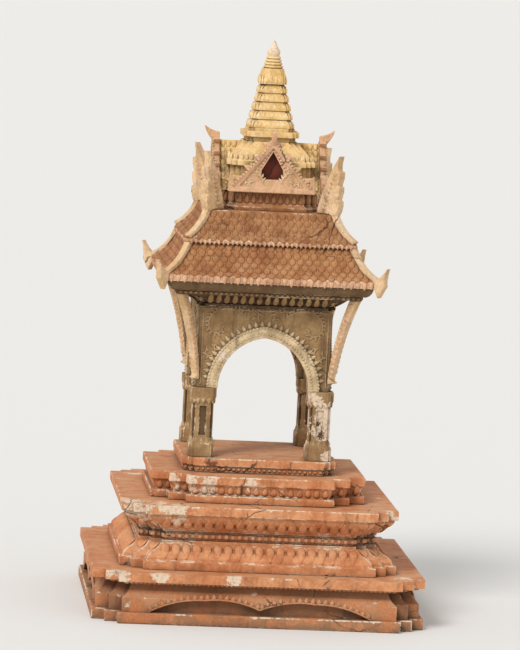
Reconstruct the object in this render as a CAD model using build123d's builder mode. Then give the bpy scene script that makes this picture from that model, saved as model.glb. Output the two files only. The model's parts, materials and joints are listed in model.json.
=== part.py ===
from build123d import *
import os
from math import acos, atan2, cos, degrees, hypot, radians, sin

os.makedirs("parts", exist_ok=True)

# A cast cement spirit house in millimetres: +Z up, front towards -Y, origin under the middle of the base.
# Heights named *_height stack up from the ground; *_half is half a width measured across the flats.

# Ground board and lion leg plinth
board_height = 20
plinth_half = 294
plinth_step = 22
leg_height = 50
leg_toe_inset = 8
leg_neck_inset = 24
leg_sag = 3
plinth_lip_height = 4
plinth_band_height = 16
leg_recess_depth = 12
leg_recess_half = 196
leg_recess_rise = 24
leg_recess_drop = 10
leg_recess_sag = 7

# Lotus base
lotus_half = 246
lotus_step = 20
lotus_band_height = 16
lotus_lip = 6
lotus_lip_height = 4
lotus_petal_height = 24
lotus_petal_sag = 1.8
lotus_neck_inset = 30
waist_inset = 38
waist_fillet_height = 5
waist_height = 16
waist_bead = 3
waist_bead_margin = 4

# Terrace and house floor
terrace_half = 192
terrace_step = 30
terrace_foot_height = 14
terrace_cove_height = 18
terrace_cove_inset = 9
terrace_edge_height = 16
floor_half = 138
floor_step = 10
floor_foot_height = 11
floor_foot_inset = 4
floor_edge_height = 15

# Corner posts
post_centre = 105
post_half = 19
post_step = 5
post_block_out = 4
post_block_height = 24
post_taper_height = 8
post_shaft_height = 66
post_flare_height = 10
capital_height = 16
groove_half = 6
groove_depth = 3
groove_margin = 7

# Arch panels
panel_outer = 118
panel_inner = 92
panel_height = 146
arch_half = 81
arch_centre_past = 12.6
archivolt_width = 20
archivolt_proud = 6

# Coved frieze, cornice and ceiling
frieze_half = 122
frieze_step = 14
frieze_bead_height = 5
frieze_bead_out = 2
frieze_cove_height = 19
frieze_sag = 4
cornice_foot_height = 7
cornice_ledge = 8
cornice_lip = 6
cornice_flare = 12
cornice_sag = 3
cornice_height = 24
ceiling_gap = 0.5
ceiling_height = 8

# Eave brackets at the corners
bracket_thickness = 14
bracket_gap = 0.6
bracket_height = 148
bracket_head_inset = 4
bracket_head_width = 18
bracket_foot_width = 8
bracket_toe_drop = 4
bracket_sag = 6

# Two skirt roofs
eave_half = 189
eave_overhang = 6
eave_edge = 12
lower_roof_rise = 55
lower_roof_run = 43
lower_roof_sag = 7
upper_eave_overhang = 6
upper_eave_edge = 6
upper_roof_rise = 50
upper_roof_run = 38
upper_roof_sag = 6
rib_thickness = 12
rib_rise = 7
flame_reach = 18
flame_tip_reach = 25
flame_rise = 32
flame_drop = 16
flame_seat = 4
flame_back_sag = 5
flame_curl_sag = 3
antefix_width = 38
antefix_thickness = 16
antefix_sag = 6
antefix_lobes = 3
antefix_lobe_height = 26
antefix_lobe_lean = 5
antefix_lobe_sag = 2.5
antefix_tip_height = 32

# Gables on a square drum
drum_ledge = 30
drum_step = 12
drum_foot_out = 5
drum_foot_height = 6
drum_height = 33
gable_inset = 20
gable_eave_edge = 6
gable_rise = 80
gable_sag = 6
gable_overhang = 6
core_inset = 12
core_step = 9
core_wall_height = 46
core_ledge = 7
core_ledge_height = 8
core_taper = 24
core_height = 88
niche_half = 19
niche_foot = 24
niche_side = 16
niche_rise = 34
niche_sag = 2
field_margin = 6
field_recess = 10
field_thickness = 4
field_foot_gap = 0.3
field_side_gap = 0.9
field_top_gap = 1.5
bargeboard_thickness = 12
bargeboard_proud = 14
bargeboard_rim = 19
bargeboard_foot = 10
bargeboard_sink = 4
fin_count = 4
fin_height = 13
fin_width = 14
fin_lean = 5
fin_top_space = 0.6
end_leaf_height = 32
end_leaf_width = 18
end_leaf_lean = 6
leaf_shoulder = 0.35
finial_reach = 16
finial_rise = 12
finial_thickness = 8
finial_sag = 2.5

# Spire
spire_base_half = 50
spire_base_step = 6
spire_neck_inset = 6
spire_neck_height = 8
spire_slab_height = 10
spire_foot_inset = 8
spire_foot_height = 6
spire_tiers = 5
spire_tier_half = 41
spire_tier_step = 4.5
spire_tier_height = 15.6
spire_tier_shrink = 3.6
spire_tier_edge = 5
spire_tier_lip = 3
bell_half = 25
bell_step = 4
bell_shoulder_inset = 1.5
bell_shoulder_height = 12
bell_top_inset = 6
bell_height = 28
finial_sides = 12
ring_count = 4
ring_radius = 18
ring_shrink = 1.5
ring_height = 5.5
ring_edge = 3.5
ring_depth = 2.5
bud_foot_radius = 10
bud_radius = 12
bud_belly_height = 7
bud_neck_radius = 6
bud_neck_height = 18
bud_tip_radius = 1.5
bud_height = 28

# Levels that the heights add up to
plinth_height = leg_height + plinth_lip_height + plinth_band_height
lotus_foot_height = lotus_band_height + lotus_lip_height + lotus_petal_height + waist_fillet_height
terrace_height = terrace_foot_height + terrace_cove_height + terrace_edge_height
floor_height = floor_foot_height + floor_edge_height
post_height = post_block_height + post_taper_height + post_shaft_height + post_flare_height + capital_height
frieze_height = frieze_bead_height + frieze_cove_height
plinth_z = board_height
lotus_foot_z = plinth_z + plinth_height
waist_z = lotus_foot_z + lotus_foot_height
lotus_head_z = waist_z + waist_height
terrace_z = lotus_head_z + lotus_foot_height
floor_z = terrace_z + terrace_height
house_z = floor_z + floor_height
spring_z = house_z + post_height
frieze_z = spring_z + panel_height
cornice_z = frieze_z + frieze_height
eave_z = cornice_z + cornice_height
upper_eave_z = eave_z + eave_edge + lower_roof_rise
drum_z = upper_eave_z + upper_eave_edge + upper_roof_rise
gable_z = drum_z + drum_height
spire_base_height = spire_neck_height + spire_slab_height + spire_foot_height
spire_base_z = gable_z + core_height
tiers_z = spire_base_z + spire_base_height
bell_z = tiers_z + spire_tiers * spire_tier_height
rings_z = bell_z + bell_height
bud_z = rings_z + ring_count * ring_height

# Widths that follow from the eaves
cornice_half = eave_half - eave_overhang - cornice_flare - cornice_lip
frieze_flare = cornice_half - cornice_ledge - frieze_half
upper_eave_half = eave_half - lower_roof_run + upper_eave_overhang
ledge_half = upper_eave_half - upper_roof_run
drum_half = ledge_half - drum_ledge
gable_half = drum_half - gable_inset
core_half = drum_half - core_inset

quarter_turn = 90
sides = {"front": 0, "right": 90, "back": 180, "left": 270}
corners = {"back_right": 45, "back_left": 135, "front_left": 225, "front_right": 315}


def upright(turn, out=0):
    """Vertical plane whose X runs level in the direction of the turn, moved out along its normal."""
    level = (cos(radians(turn)), sin(radians(turn)), 0)
    normal = (sin(radians(turn)), -cos(radians(turn)), 0)
    return Plane(origin=(0, 0, 0), x_dir=level, z_dir=normal).offset(out)


def lying(turn, height):
    """Level plane at a height, with its X in the direction of the turn."""
    return Plane(origin=(0, 0, height), x_dir=(cos(radians(turn)), sin(radians(turn)), 0), z_dir=(0, 0, 1))


def corner_reach(half):
    """Distance from the middle to the corner of a square with this half width."""
    return hypot(half, half)


def draw_run(start_x, start_y, run):
    """Draw a run of mouldings as (out, up, sagitta) steps and give back its end points."""
    points = [(start_x + out, start_y + up) for out, up, sagitta in run]
    for start, end, step in zip(points, points[1:], run[1:]):
        if step[2]:
            SagittaArc(start, end, step[2])
        else:
            Line(start, end)
    return points[0], points[-1]


def draw_section(half, base, run):
    """Draw the section of a body whose two sides follow one run of mouldings."""
    with BuildLine() as side:
        first, last = draw_run(half, base, run)
        Polyline(last, (0, last[1]), (0, first[1]), first)
    make_face(side.edges())
    mirror(about=Plane.YZ)


def moulded_block(half_x, half_y, base, run):
    """Make a block whose four sides follow one run of mouldings."""
    reach = max(half_x, half_y) + max(out for out, up, sagitta in run) + 1
    with BuildPart() as block:
        with BuildSketch(Plane.XZ):
            draw_section(half_x, base, run)
        extrude(amount=reach, both=True)
        with BuildSketch(Plane.YZ):
            draw_section(half_y, base, run)
        extrude(amount=reach, both=True, mode=Mode.INTERSECT)
    return block.part


def stepped(half, step, redents=2):
    """Give the half widths in X and Y of the blocks that cross to make stepped corners."""
    return [(half - k * step, half - (redents - k) * step) for k in range(redents + 1)]


def moulded_tier(half, base, run, step, redents=2):
    """Make the blocks that together form a tier with stepped corners."""
    return [moulded_block(half_x, half_y, base, run) for half_x, half_y in stepped(half, step, redents)]


def cyma(start, end, depth):
    """Give the two arcs of an S-shaped moulding between two (out, up) points."""
    middle = ((start[0] + end[0]) / 2, (start[1] + end[1]) / 2)
    return [(middle[0], middle[1], depth), (end[0], end[1], -depth)]


def turned_over(run, height):
    """Give a run of mouldings upside down within its height."""
    bends = [0] + [sagitta for out, up, sagitta in reversed(run)]
    return [(out, height - up, bend) for (out, up, sagitta), bend in zip(reversed(run), bends)]


def save(builder, label):
    """Label a finished piece and write it."""
    builder.part.label = label
    export_step(builder.part, f"parts/{label}.step")
    print(label, round(builder.part.volume))


# Ground board
with BuildPart() as ground_board:
    with BuildSketch():
        for half_x, half_y in stepped(plinth_half, plinth_step):
            Rectangle(2 * half_x, 2 * half_y)
    extrude(amount=board_height)
save(ground_board, "ground_board")

# Lion leg plinth
leg_run = [
    (-leg_toe_inset, 0, 0),
    (-leg_toe_inset, leg_height / 2, 0),
    (-leg_neck_inset, leg_height, leg_sag),
    (-leg_neck_inset / 2, leg_height, 0),
    (-leg_neck_inset / 2, leg_height + plinth_lip_height, 0),
    (0, leg_height + plinth_lip_height, 0),
    (0, plinth_height, 0),
]
plinth_blocks = moulded_tier(plinth_half, plinth_z, leg_run, plinth_step)
with BuildPart() as lion_leg_plinth:
    add(plinth_blocks)
    for turn in sides.values():
        with BuildSketch(upright(turn, plinth_half)):
            with BuildLine():
                toe = (leg_recess_half, plinth_z)
                crown = (leg_recess_half / 2, plinth_z + leg_recess_rise)
                drop = (0, plinth_z + leg_recess_drop)
                SagittaArc(toe, crown, -leg_recess_sag)
                SagittaArc(crown, drop, -leg_recess_sag)
                Polyline(drop, (0, plinth_z), toe)
            make_face()
            mirror(about=Plane.YZ)
        extrude(amount=-(leg_toe_inset + leg_recess_depth), mode=Mode.SUBTRACT)
save(lion_leg_plinth, "lion_leg_plinth")

# Lotus base: foot, waist and head, the head being the foot upside down
lotus_low = (-lotus_lip, lotus_band_height + lotus_lip_height)
lotus_high = (-lotus_neck_inset, lotus_band_height + lotus_lip_height + lotus_petal_height)
lotus_run = [
    (0, 0, 0),
    (0, lotus_band_height, 0),
    (-lotus_lip, lotus_band_height, 0),
    (*lotus_low, 0),
    *cyma(lotus_low, lotus_high, -lotus_petal_sag),
    ((-lotus_neck_inset - waist_inset) / 2, lotus_high[1], 0),
    ((-lotus_neck_inset - waist_inset) / 2, lotus_foot_height, 0),
]
waist_run = [
    (-waist_inset, 0, 0),
    (-waist_inset, waist_bead_margin, 0),
    (waist_bead - waist_inset, waist_bead_margin, 0),
    (waist_bead - waist_inset, waist_height - waist_bead_margin, 0),
    (-waist_inset, waist_height - waist_bead_margin, 0),
    (-waist_inset, waist_height, 0),
]
lotus_foot_blocks = moulded_tier(lotus_half, lotus_foot_z, lotus_run, lotus_step)
with BuildPart() as lotus_foot:
    add(lotus_foot_blocks)
save(lotus_foot, "lotus_foot")

waist_blocks = moulded_tier(lotus_half, waist_z, waist_run, lotus_step)
with BuildPart() as lotus_waist:
    add(waist_blocks)
save(lotus_waist, "lotus_waist")

head_run = turned_over(lotus_run, lotus_foot_height)
lotus_head_blocks = moulded_tier(lotus_half, lotus_head_z, head_run, lotus_step)
with BuildPart() as lotus_head:
    add(lotus_head_blocks)
save(lotus_head, "lotus_head")

# Terrace slab and house floor
terrace_run = [
    (0, 0, 0),
    (0, terrace_foot_height, 0),
    (-terrace_cove_inset, terrace_foot_height, 0),
    (-terrace_cove_inset / 2, terrace_foot_height + terrace_cove_height, 0),
    (0, terrace_foot_height + terrace_cove_height, 0),
    (0, terrace_height, 0),
]
terrace_blocks = moulded_tier(terrace_half, terrace_z, terrace_run, terrace_step)
with BuildPart() as terrace_slab:
    add(terrace_blocks)
save(terrace_slab, "terrace_slab")

floor_run = [
    (-floor_foot_inset, 0, 0),
    (-floor_foot_inset, floor_foot_height, 0),
    (0, floor_foot_height, 0),
    (0, floor_height, 0),
]
floor_blocks = moulded_tier(floor_half, floor_z, floor_run, floor_step)
with BuildPart() as house_floor:
    add(floor_blocks)
save(house_floor, "house_floor")

# Four posts with stepped corners, a base block, a capital and a groove down each face of the shaft
shaft_foot = post_block_height + post_taper_height
shaft_head = shaft_foot + post_shaft_height
post_run = [
    (post_block_out, 0, 0),
    (post_block_out, post_block_height, 0),
    (0, shaft_foot, 0),
    (0, shaft_head, 0),
    (post_block_out, shaft_head + post_flare_height, 0),
    (post_block_out, post_height, 0),
]
post_blocks = moulded_tier(post_half, house_z, post_run, post_step, redents=1)
for name, turn in corners.items():
    reach = corner_reach(post_centre)
    spot = (reach * cos(radians(turn)), reach * sin(radians(turn)), 0)
    with BuildPart() as post:
        with Locations(spot):
            add(post_blocks)
        shaft_middle = house_z + (shaft_foot + shaft_head) / 2
        with Locations((spot[0], spot[1], shaft_middle)):
            for out_x, out_y in ((1, 0), (-1, 0), (0, 1), (0, -1)):
                with Locations((out_x * post_half, out_y * post_half, 0)):
                    Box(
                        2 * (groove_depth if out_x else groove_half),
                        2 * (groove_depth if out_y else groove_half),
                        post_shaft_height - 2 * groove_margin,
                        mode=Mode.SUBTRACT,
                    )
    save(post, f"post_{name}")


def draw_pointed_arch(half, spring):
    """Draw the two arcs of a pointed opening over its springing line."""
    radius = half + arch_centre_past
    sweep = degrees(acos(arch_centre_past / radius))
    with BuildLine() as side:
        rise = CenterArc((-arch_centre_past, spring), radius, 0, sweep)
        Line((0, spring), (half, spring))
        Line((0, spring), rise @ 1)
    make_face(side.edges())
    mirror(about=Plane.YZ)


# Four arch panels, mitred where they meet over the posts
panel_depth = panel_outer - panel_inner
for name, turn in sides.items():
    with BuildPart() as arch_panel:
        with BuildSketch(lying(turn, spring_z)):
            Polygon(
                (-panel_outer, -panel_outer),
                (panel_outer, -panel_outer),
                (panel_inner, -panel_inner),
                (-panel_inner, -panel_inner),
                align=None,
            )
        extrude(amount=panel_height)
        with BuildSketch(upright(turn, panel_outer)):
            draw_pointed_arch(arch_half + archivolt_width, spring_z)
        extrude(amount=archivolt_proud)
        with BuildSketch(upright(turn, panel_outer + archivolt_proud)):
            draw_pointed_arch(arch_half, spring_z)
        extrude(amount=-(archivolt_proud + panel_depth), mode=Mode.SUBTRACT)
    save(arch_panel, f"arch_{name}")

# Coved frieze over the panels
frieze_run = [
    (frieze_bead_out, 0, 0),
    (frieze_bead_out, frieze_bead_height, 0),
    (-frieze_bead_out, frieze_bead_height, 0),
    (frieze_flare, frieze_height, frieze_sag),
]
frieze_blocks = moulded_tier(frieze_half, frieze_z, frieze_run, frieze_step, redents=1)
with BuildPart() as coved_frieze:
    add(frieze_blocks)
    with BuildSketch(Plane.XY.offset(frieze_z)):
        Rectangle(2 * panel_inner, 2 * panel_inner)
    extrude(amount=frieze_height, mode=Mode.SUBTRACT)
save(coved_frieze, "coved_frieze")

# Ceiling board inside the frieze
with BuildPart() as ceiling:
    with BuildSketch(Plane.XY.offset(cornice_z - ceiling_height)):
        Rectangle(2 * (panel_inner - ceiling_gap), 2 * (panel_inner - ceiling_gap))
    extrude(amount=ceiling_height)
save(ceiling, "ceiling")

# Cornice under the eaves
cornice_run = [
    (0, 0, 0),
    (0, cornice_foot_height, 0),
    (cornice_lip, cornice_foot_height, 0),
    (cornice_lip + cornice_flare, cornice_height, -cornice_sag),
]
cornice_block = moulded_block(cornice_half, cornice_half, cornice_z, cornice_run)
with BuildPart() as cornice:
    add(cornice_block)
save(cornice, "cornice")

# Slanted brackets from the panel corners to the cornice
bracket_foot = corner_reach(panel_outer) + bracket_gap
bracket_head = corner_reach(cornice_half - bracket_head_inset)
with BuildPart() as eave_brackets:
    for turn in corners.values():
        with BuildSketch(upright(turn)):
            with BuildLine():
                foot_z = cornice_z - bracket_height
                inner = SagittaArc(
                    (bracket_foot, foot_z), (bracket_head - bracket_head_width, cornice_z), bracket_sag
                )
                outer = SagittaArc(
                    (bracket_foot + bracket_foot_width, foot_z), (bracket_head, cornice_z), bracket_sag
                )
                Line(inner @ 1, outer @ 1)
                Polyline(
                    outer @ 0,
                    (bracket_foot + 2 * bracket_foot_width, foot_z - bracket_toe_drop),
                    (bracket_foot, foot_z - 2 * bracket_toe_drop),
                    inner @ 0,
                )
            make_face()
        extrude(amount=bracket_thickness / 2, both=True)
save(eave_brackets, "eave_brackets")

# Lower and upper skirt roofs with hollow slopes
lower_run = [
    (0, 0, 0),
    (0, eave_edge, 0),
    (-lower_roof_run, eave_edge + lower_roof_rise, lower_roof_sag),
]
lower_block = moulded_block(eave_half, eave_half, eave_z, lower_run)
with BuildPart() as lower_roof:
    add(lower_block)
save(lower_roof, "lower_roof")

upper_run = [
    (0, 0, 0),
    (0, upper_eave_edge, 0),
    (-upper_roof_run, upper_eave_edge + upper_roof_rise, upper_roof_sag),
]
upper_block = moulded_block(upper_eave_half, upper_eave_half, upper_eave_z, upper_run)
with BuildPart() as upper_roof:
    add(upper_block)
save(upper_roof, "upper_roof")

# Hip ribs on the lower roof, each ending in an upturned flame at the eave corner
eave_corner = corner_reach(eave_half)
lower_top_corner = corner_reach(eave_half - lower_roof_run)
for name, turn in corners.items():
    with BuildPart() as lower_hip:
        with BuildSketch(upright(turn)):
            with BuildLine():
                low = (eave_corner, eave_z + eave_edge + rib_rise)
                high = (lower_top_corner + rib_rise, upper_eave_z)
                SagittaArc(low, high, lower_roof_sag)
                Polyline(high, (lower_top_corner - rib_rise, upper_eave_z), (eave_corner - rib_thickness, eave_z), low)
            make_face()
            with BuildLine():
                tip = (eave_corner + flame_tip_reach, eave_z + eave_edge + flame_rise)
                nape = (eave_corner - rib_thickness, eave_z + eave_edge)
                belly = (eave_corner + flame_reach, eave_z + eave_edge / 2)
                curl = (eave_corner + flame_seat, eave_z - flame_drop)
                seat = (eave_corner - flame_seat, eave_z)
                SagittaArc(nape, tip, -flame_back_sag)
                SagittaArc(tip, belly, -flame_curl_sag)
                Polyline(belly, curl, seat, nape)
            make_face()
        extrude(amount=rib_thickness / 2, both=True)
        add(lower_roof.part, mode=Mode.SUBTRACT)
    save(lower_hip, f"lower_hip_{name}")

# Hip ribs on the upper roof, each ending in a tall antefix of stacked flame lobes beside the drum
upper_corner = corner_reach(upper_eave_half)
ledge_corner = corner_reach(ledge_half)
low = (upper_corner, upper_eave_z + upper_eave_edge + rib_rise)
high = (ledge_corner + rib_rise, drum_z)
root = (ledge_corner - antefix_width, drum_z)
with BuildPart() as upper_hips:
    for turn in corners.values():
        with BuildSketch(upright(turn)):
            with BuildLine():
                SagittaArc(low, high, upper_roof_sag)
                Polyline(high, root, (upper_corner - rib_thickness, upper_eave_z), low)
            make_face()
        extrude(amount=rib_thickness / 2, both=True)
        with BuildSketch(upright(turn)):
            with BuildLine():
                here = high
                for k in range(antefix_lobes):
                    lobe_top = (high[0] + antefix_lobe_lean, drum_z + (k + 1) * antefix_lobe_height)
                    SagittaArc(here, lobe_top, -antefix_lobe_sag)
                    here = (high[0], lobe_top[1])
                    Line(lobe_top, here)
                tip = (high[0] + antefix_lobe_lean, here[1] + antefix_tip_height)
                SagittaArc(here, tip, antefix_lobe_sag)
                SagittaArc(tip, root, -antefix_sag)
                Line(root, high)
            make_face()
        extrude(amount=antefix_thickness / 2, both=True)
    add(upper_roof.part, mode=Mode.SUBTRACT)
save(upper_hips, "upper_hips")

# Square drum under the gables
drum_run = [
    (drum_foot_out, 0, 0),
    (drum_foot_out, drum_foot_height, 0),
    (0, 2 * drum_foot_height, 0),
    (0, drum_height, 0),
]
drum_blocks = moulded_tier(drum_half, drum_z, drum_run, drum_step)
with BuildPart() as gable_drum:
    add(drum_blocks)
save(gable_drum, "gable_drum")


def draw_gable(half, base, edge, rise, sag=0):
    """Draw a gable with straight, hollow or full slopes, standing on the axis at a base height."""
    with BuildLine() as side:
        if sag:
            slope = SagittaArc((half, base + edge), (0, base + edge + rise), sag)
        else:
            slope = Line((half, base + edge), (0, base + edge + rise))
        if edge:
            Line((half, base), slope @ 0)
        Line((0, base), (half, base))
        Line((0, base), slope @ 1)
    make_face(side.edges())
    mirror(about=Plane.YZ)


# Four gable arms round a square core that tapers to the spire
core_run = [
    (0, 0, 0),
    (0, core_wall_height, 0),
    (core_ledge, core_wall_height, 0),
    (core_ledge, core_wall_height + core_ledge_height, 0),
    (-core_taper, core_height, 0),
]
core_blocks = moulded_tier(core_half, gable_z, core_run, core_step)
arm_end = drum_half + gable_overhang
niche_z = gable_z + niche_foot
recess_half = niche_half + field_margin
recess_z = niche_z - field_margin
recess_rise = niche_rise + 2 * field_margin
with BuildPart() as gable_roof:
    add(core_blocks)
    for turn in (0, 90):
        with BuildSketch(upright(turn)):
            draw_gable(gable_half, gable_z, gable_eave_edge, gable_rise, gable_sag)
        extrude(amount=arm_end, both=True)
    for turn in sides.values():
        with BuildSketch(upright(turn, arm_end)):
            draw_gable(recess_half, recess_z, niche_side, recess_rise)
        extrude(amount=-field_recess, mode=Mode.SUBTRACT)
save(gable_roof, "gable_roof")

# Dark gable fields set back in the arms
for name, turn in sides.items():
    with BuildPart() as gable_field:
        with BuildSketch(upright(turn, arm_end - field_recess)):
            draw_gable(
                recess_half - field_side_gap,
                recess_z + field_foot_gap,
                niche_side,
                recess_rise - field_top_gap,
            )
        extrude(amount=field_thickness)
    save(gable_field, f"gable_field_{name}")


def leaf(width, height, lean):
    """Make a flat flame leaf that stands on its middle and leans to one side."""
    with BuildSketch() as blade:
        Polygon((-width / 2, 0), (width / 2, 0), (width / 2, leaf_shoulder * height), (lean, height), align=None)
    return blade.sketch


# Broad bargeboards round a narrow niche, with a raised rim, fins, upturned ends and a horn at the ridge
fin = leaf(fin_width, fin_height, fin_lean)
end_leaf = leaf(end_leaf_width, end_leaf_height, end_leaf_lean)
barge_half = gable_half + bargeboard_proud
barge_rise = gable_rise + bargeboard_proud
for name, turn in sides.items():
    with BuildPart() as bargeboard:
        with BuildSketch(upright(turn, arm_end)):
            draw_gable(barge_half, gable_z, gable_eave_edge, barge_rise, gable_sag)
            with BuildLine(mode=Mode.PRIVATE):
                edge = SagittaArc(
                    (barge_half, gable_z + gable_eave_edge),
                    (0, gable_z + gable_eave_edge + barge_rise),
                    gable_sag,
                )
            for k in range(fin_count):
                share = (k + 1) / (fin_count + fin_top_space)
                spot = edge @ share
                heading = degrees(acos((edge % share).X))
                with Locations(Location((spot.X, spot.Y, 0), (0, 0, heading - 2 * quarter_turn))):
                    add(fin)
            with Locations((barge_half - end_leaf_width / 2, gable_z + gable_eave_edge / 2)):
                add(end_leaf)
            mirror(about=Plane.YZ)
        extrude(amount=bargeboard_thickness)
        with BuildSketch(upright(turn, arm_end + bargeboard_thickness)):
            draw_gable(
                barge_half - bargeboard_rim,
                gable_z + bargeboard_foot,
                0,
                barge_rise + gable_eave_edge - bargeboard_foot - bargeboard_rim,
            )
        extrude(amount=-bargeboard_sink, mode=Mode.SUBTRACT)
        with BuildSketch(upright(turn, arm_end + bargeboard_thickness)):
            draw_gable(niche_half, niche_z, niche_side, niche_rise, -niche_sag)
        extrude(amount=-bargeboard_thickness, mode=Mode.SUBTRACT)
        with BuildSketch(upright(turn - quarter_turn)):
            with BuildLine():
                ridge = gable_z + gable_eave_edge + barge_rise
                tip = (arm_end + bargeboard_thickness + finial_reach, ridge + finial_rise)
                heel = (arm_end, ridge - finial_thickness)
                neck = (arm_end, ridge)
                chin = (arm_end + bargeboard_thickness, ridge - 2 * finial_thickness)
                SagittaArc(neck, tip, -finial_sag)
                SagittaArc(tip, chin, finial_sag)
                Polyline(chin, heel, neck)
            make_face()
        extrude(amount=finial_thickness / 2, both=True)
    save(bargeboard, f"bargeboard_{name}")

# Spire: stepped base, shrinking tiers, bell, rings and lotus bud
slab_top = spire_neck_height + spire_slab_height
spire_base_run = [
    (-spire_neck_inset, 0, 0),
    (-spire_neck_inset, spire_neck_height, 0),
    (0, spire_neck_height, 0),
    (0, slab_top, 0),
    (-spire_foot_inset, slab_top, 0),
    (-spire_foot_inset, spire_base_height, 0),
]
spire_base_blocks = moulded_tier(spire_base_half, spire_base_z, spire_base_run, spire_base_step)
with BuildPart() as spire_base:
    add(spire_base_blocks)
save(spire_base, "spire_base")

tier_blocks = []
for k in range(spire_tiers):
    tier_run = [
        (0, 0, 0),
        (0, spire_tier_edge, 0),
        (-spire_tier_shrink - spire_tier_lip, spire_tier_height, 0),
    ]
    tier_half = spire_tier_half - k * spire_tier_shrink
    tier_blocks += moulded_tier(tier_half, tiers_z + k * spire_tier_height, tier_run, spire_tier_step)
with BuildPart() as spire_tiers_piece:
    add(tier_blocks)
save(spire_tiers_piece, "spire_tiers")

bell_run = [
    (0, 0, 0),
    (-bell_shoulder_inset, bell_shoulder_height, 0),
    (-bell_top_inset, bell_height, 0),
]
bell_blocks = moulded_tier(bell_half, bell_z, bell_run, bell_step)
with BuildPart() as spire_bell:
    add(bell_blocks)
save(spire_bell, "spire_bell")

# Each stage of the finial is (height of its foot, radius at the foot, height of its top, radius at the top)
stages = []
for k in range(ring_count):
    rim = ring_radius - k * ring_shrink
    foot = rings_z + k * ring_height
    stages.append((foot, rim, foot + ring_edge, rim))
    stages.append((foot + ring_edge, rim - ring_depth, foot + ring_height, rim - ring_depth))
belly_z = bud_z + bud_belly_height
bud_neck_z = bud_z + bud_neck_height
stages.append((bud_z, bud_foot_radius, belly_z, bud_radius))
stages.append((belly_z, bud_radius, bud_neck_z, bud_neck_radius))
stages.append((bud_neck_z, bud_neck_radius, bud_z + bud_height, bud_tip_radius))
with BuildPart() as spire_finial:
    for foot, foot_radius, top, top_radius in stages:
        with BuildSketch(Plane.XY.offset(foot)):
            RegularPolygon(foot_radius, finial_sides, major_radius=False)
        extrude(amount=top - foot, taper=degrees(atan2(foot_radius - top_radius, top - foot)))
save(spire_finial, "spire_finial")

print("height", bud_z + bud_height)
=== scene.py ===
# %% [markdown]
# A weathered spirit house of cast cement
#
# The model that this script loads holds the real construction: base, posts, arches, roofs and spire at
# their true size. What is missing is what makes a painted garden shrine look like one: edges rounded by
# the mould, rows of lotus petals and roof tiles, leaves round the arches, and thirty years of sun, rain
# and dust on the paint. Each step below adds one of these.

# %% Load the frame
import json
import math
import random

import bmesh
import bpy
import numpy as np
from mathutils import Euler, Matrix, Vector


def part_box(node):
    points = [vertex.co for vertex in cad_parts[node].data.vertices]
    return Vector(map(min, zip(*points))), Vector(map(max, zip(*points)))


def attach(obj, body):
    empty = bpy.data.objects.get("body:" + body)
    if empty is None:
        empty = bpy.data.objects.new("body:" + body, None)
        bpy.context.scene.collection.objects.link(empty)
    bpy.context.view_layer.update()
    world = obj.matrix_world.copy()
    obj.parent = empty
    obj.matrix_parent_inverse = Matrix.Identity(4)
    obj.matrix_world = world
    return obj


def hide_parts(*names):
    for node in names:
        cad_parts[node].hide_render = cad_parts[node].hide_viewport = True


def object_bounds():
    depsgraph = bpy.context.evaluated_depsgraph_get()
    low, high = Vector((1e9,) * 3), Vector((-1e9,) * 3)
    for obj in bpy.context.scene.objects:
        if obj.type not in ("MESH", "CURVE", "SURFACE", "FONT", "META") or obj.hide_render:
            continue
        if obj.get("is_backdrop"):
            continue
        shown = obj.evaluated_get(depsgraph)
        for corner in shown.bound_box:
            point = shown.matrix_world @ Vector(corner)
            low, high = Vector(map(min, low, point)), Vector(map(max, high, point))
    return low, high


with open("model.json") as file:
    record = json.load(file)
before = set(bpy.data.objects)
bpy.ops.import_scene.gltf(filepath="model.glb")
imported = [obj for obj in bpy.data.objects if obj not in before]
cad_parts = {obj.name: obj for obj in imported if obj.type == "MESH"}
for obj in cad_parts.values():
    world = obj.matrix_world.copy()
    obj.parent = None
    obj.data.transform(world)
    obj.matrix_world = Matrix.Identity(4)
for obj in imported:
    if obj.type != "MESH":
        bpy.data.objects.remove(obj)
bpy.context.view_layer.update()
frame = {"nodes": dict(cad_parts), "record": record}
nodes = frame["nodes"]
mm = 0.001

# %% [markdown]
# The camera comes first, because everything is judged through it. The house was seen from about eight
# metres away, a little above its roof and slightly from the left, so a long lens keeps the verticals
# nearly parallel. The old house leans a little to one side, which is a small roll of the camera.

# %% Camera
camera_place = Vector((-0.741, -8.468, 1.334))
camera_aim = Vector((0.0, 0.0, 0.506))
camera_lens = 262
camera_sensor = 36
camera_sight = 200
camera_roll = math.radians(2.9)

camera = bpy.data.objects.new("camera", bpy.data.cameras.new("camera"))
bpy.context.scene.collection.objects.link(camera)
bpy.context.scene.camera = camera
camera.data.lens = camera_lens
camera.data.sensor_width = camera_sensor
camera.data.clip_end = camera_sight
camera.location = camera_place
look = (camera_aim - camera_place).to_track_quat("-Z", "Y")
camera.rotation_mode = "QUATERNION"
camera.rotation_quaternion = look @ Euler((0, 0, camera_roll)).to_quaternion()
print("camera is", round((camera_aim - camera_place).length, 2), "m away")

# %% [markdown]
# Expressions are easier to read than a web of nodes. A Wire wraps one socket, and adding or multiplying
# wires adds the Math nodes, so a formula is written as one would write it on paper.


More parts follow.
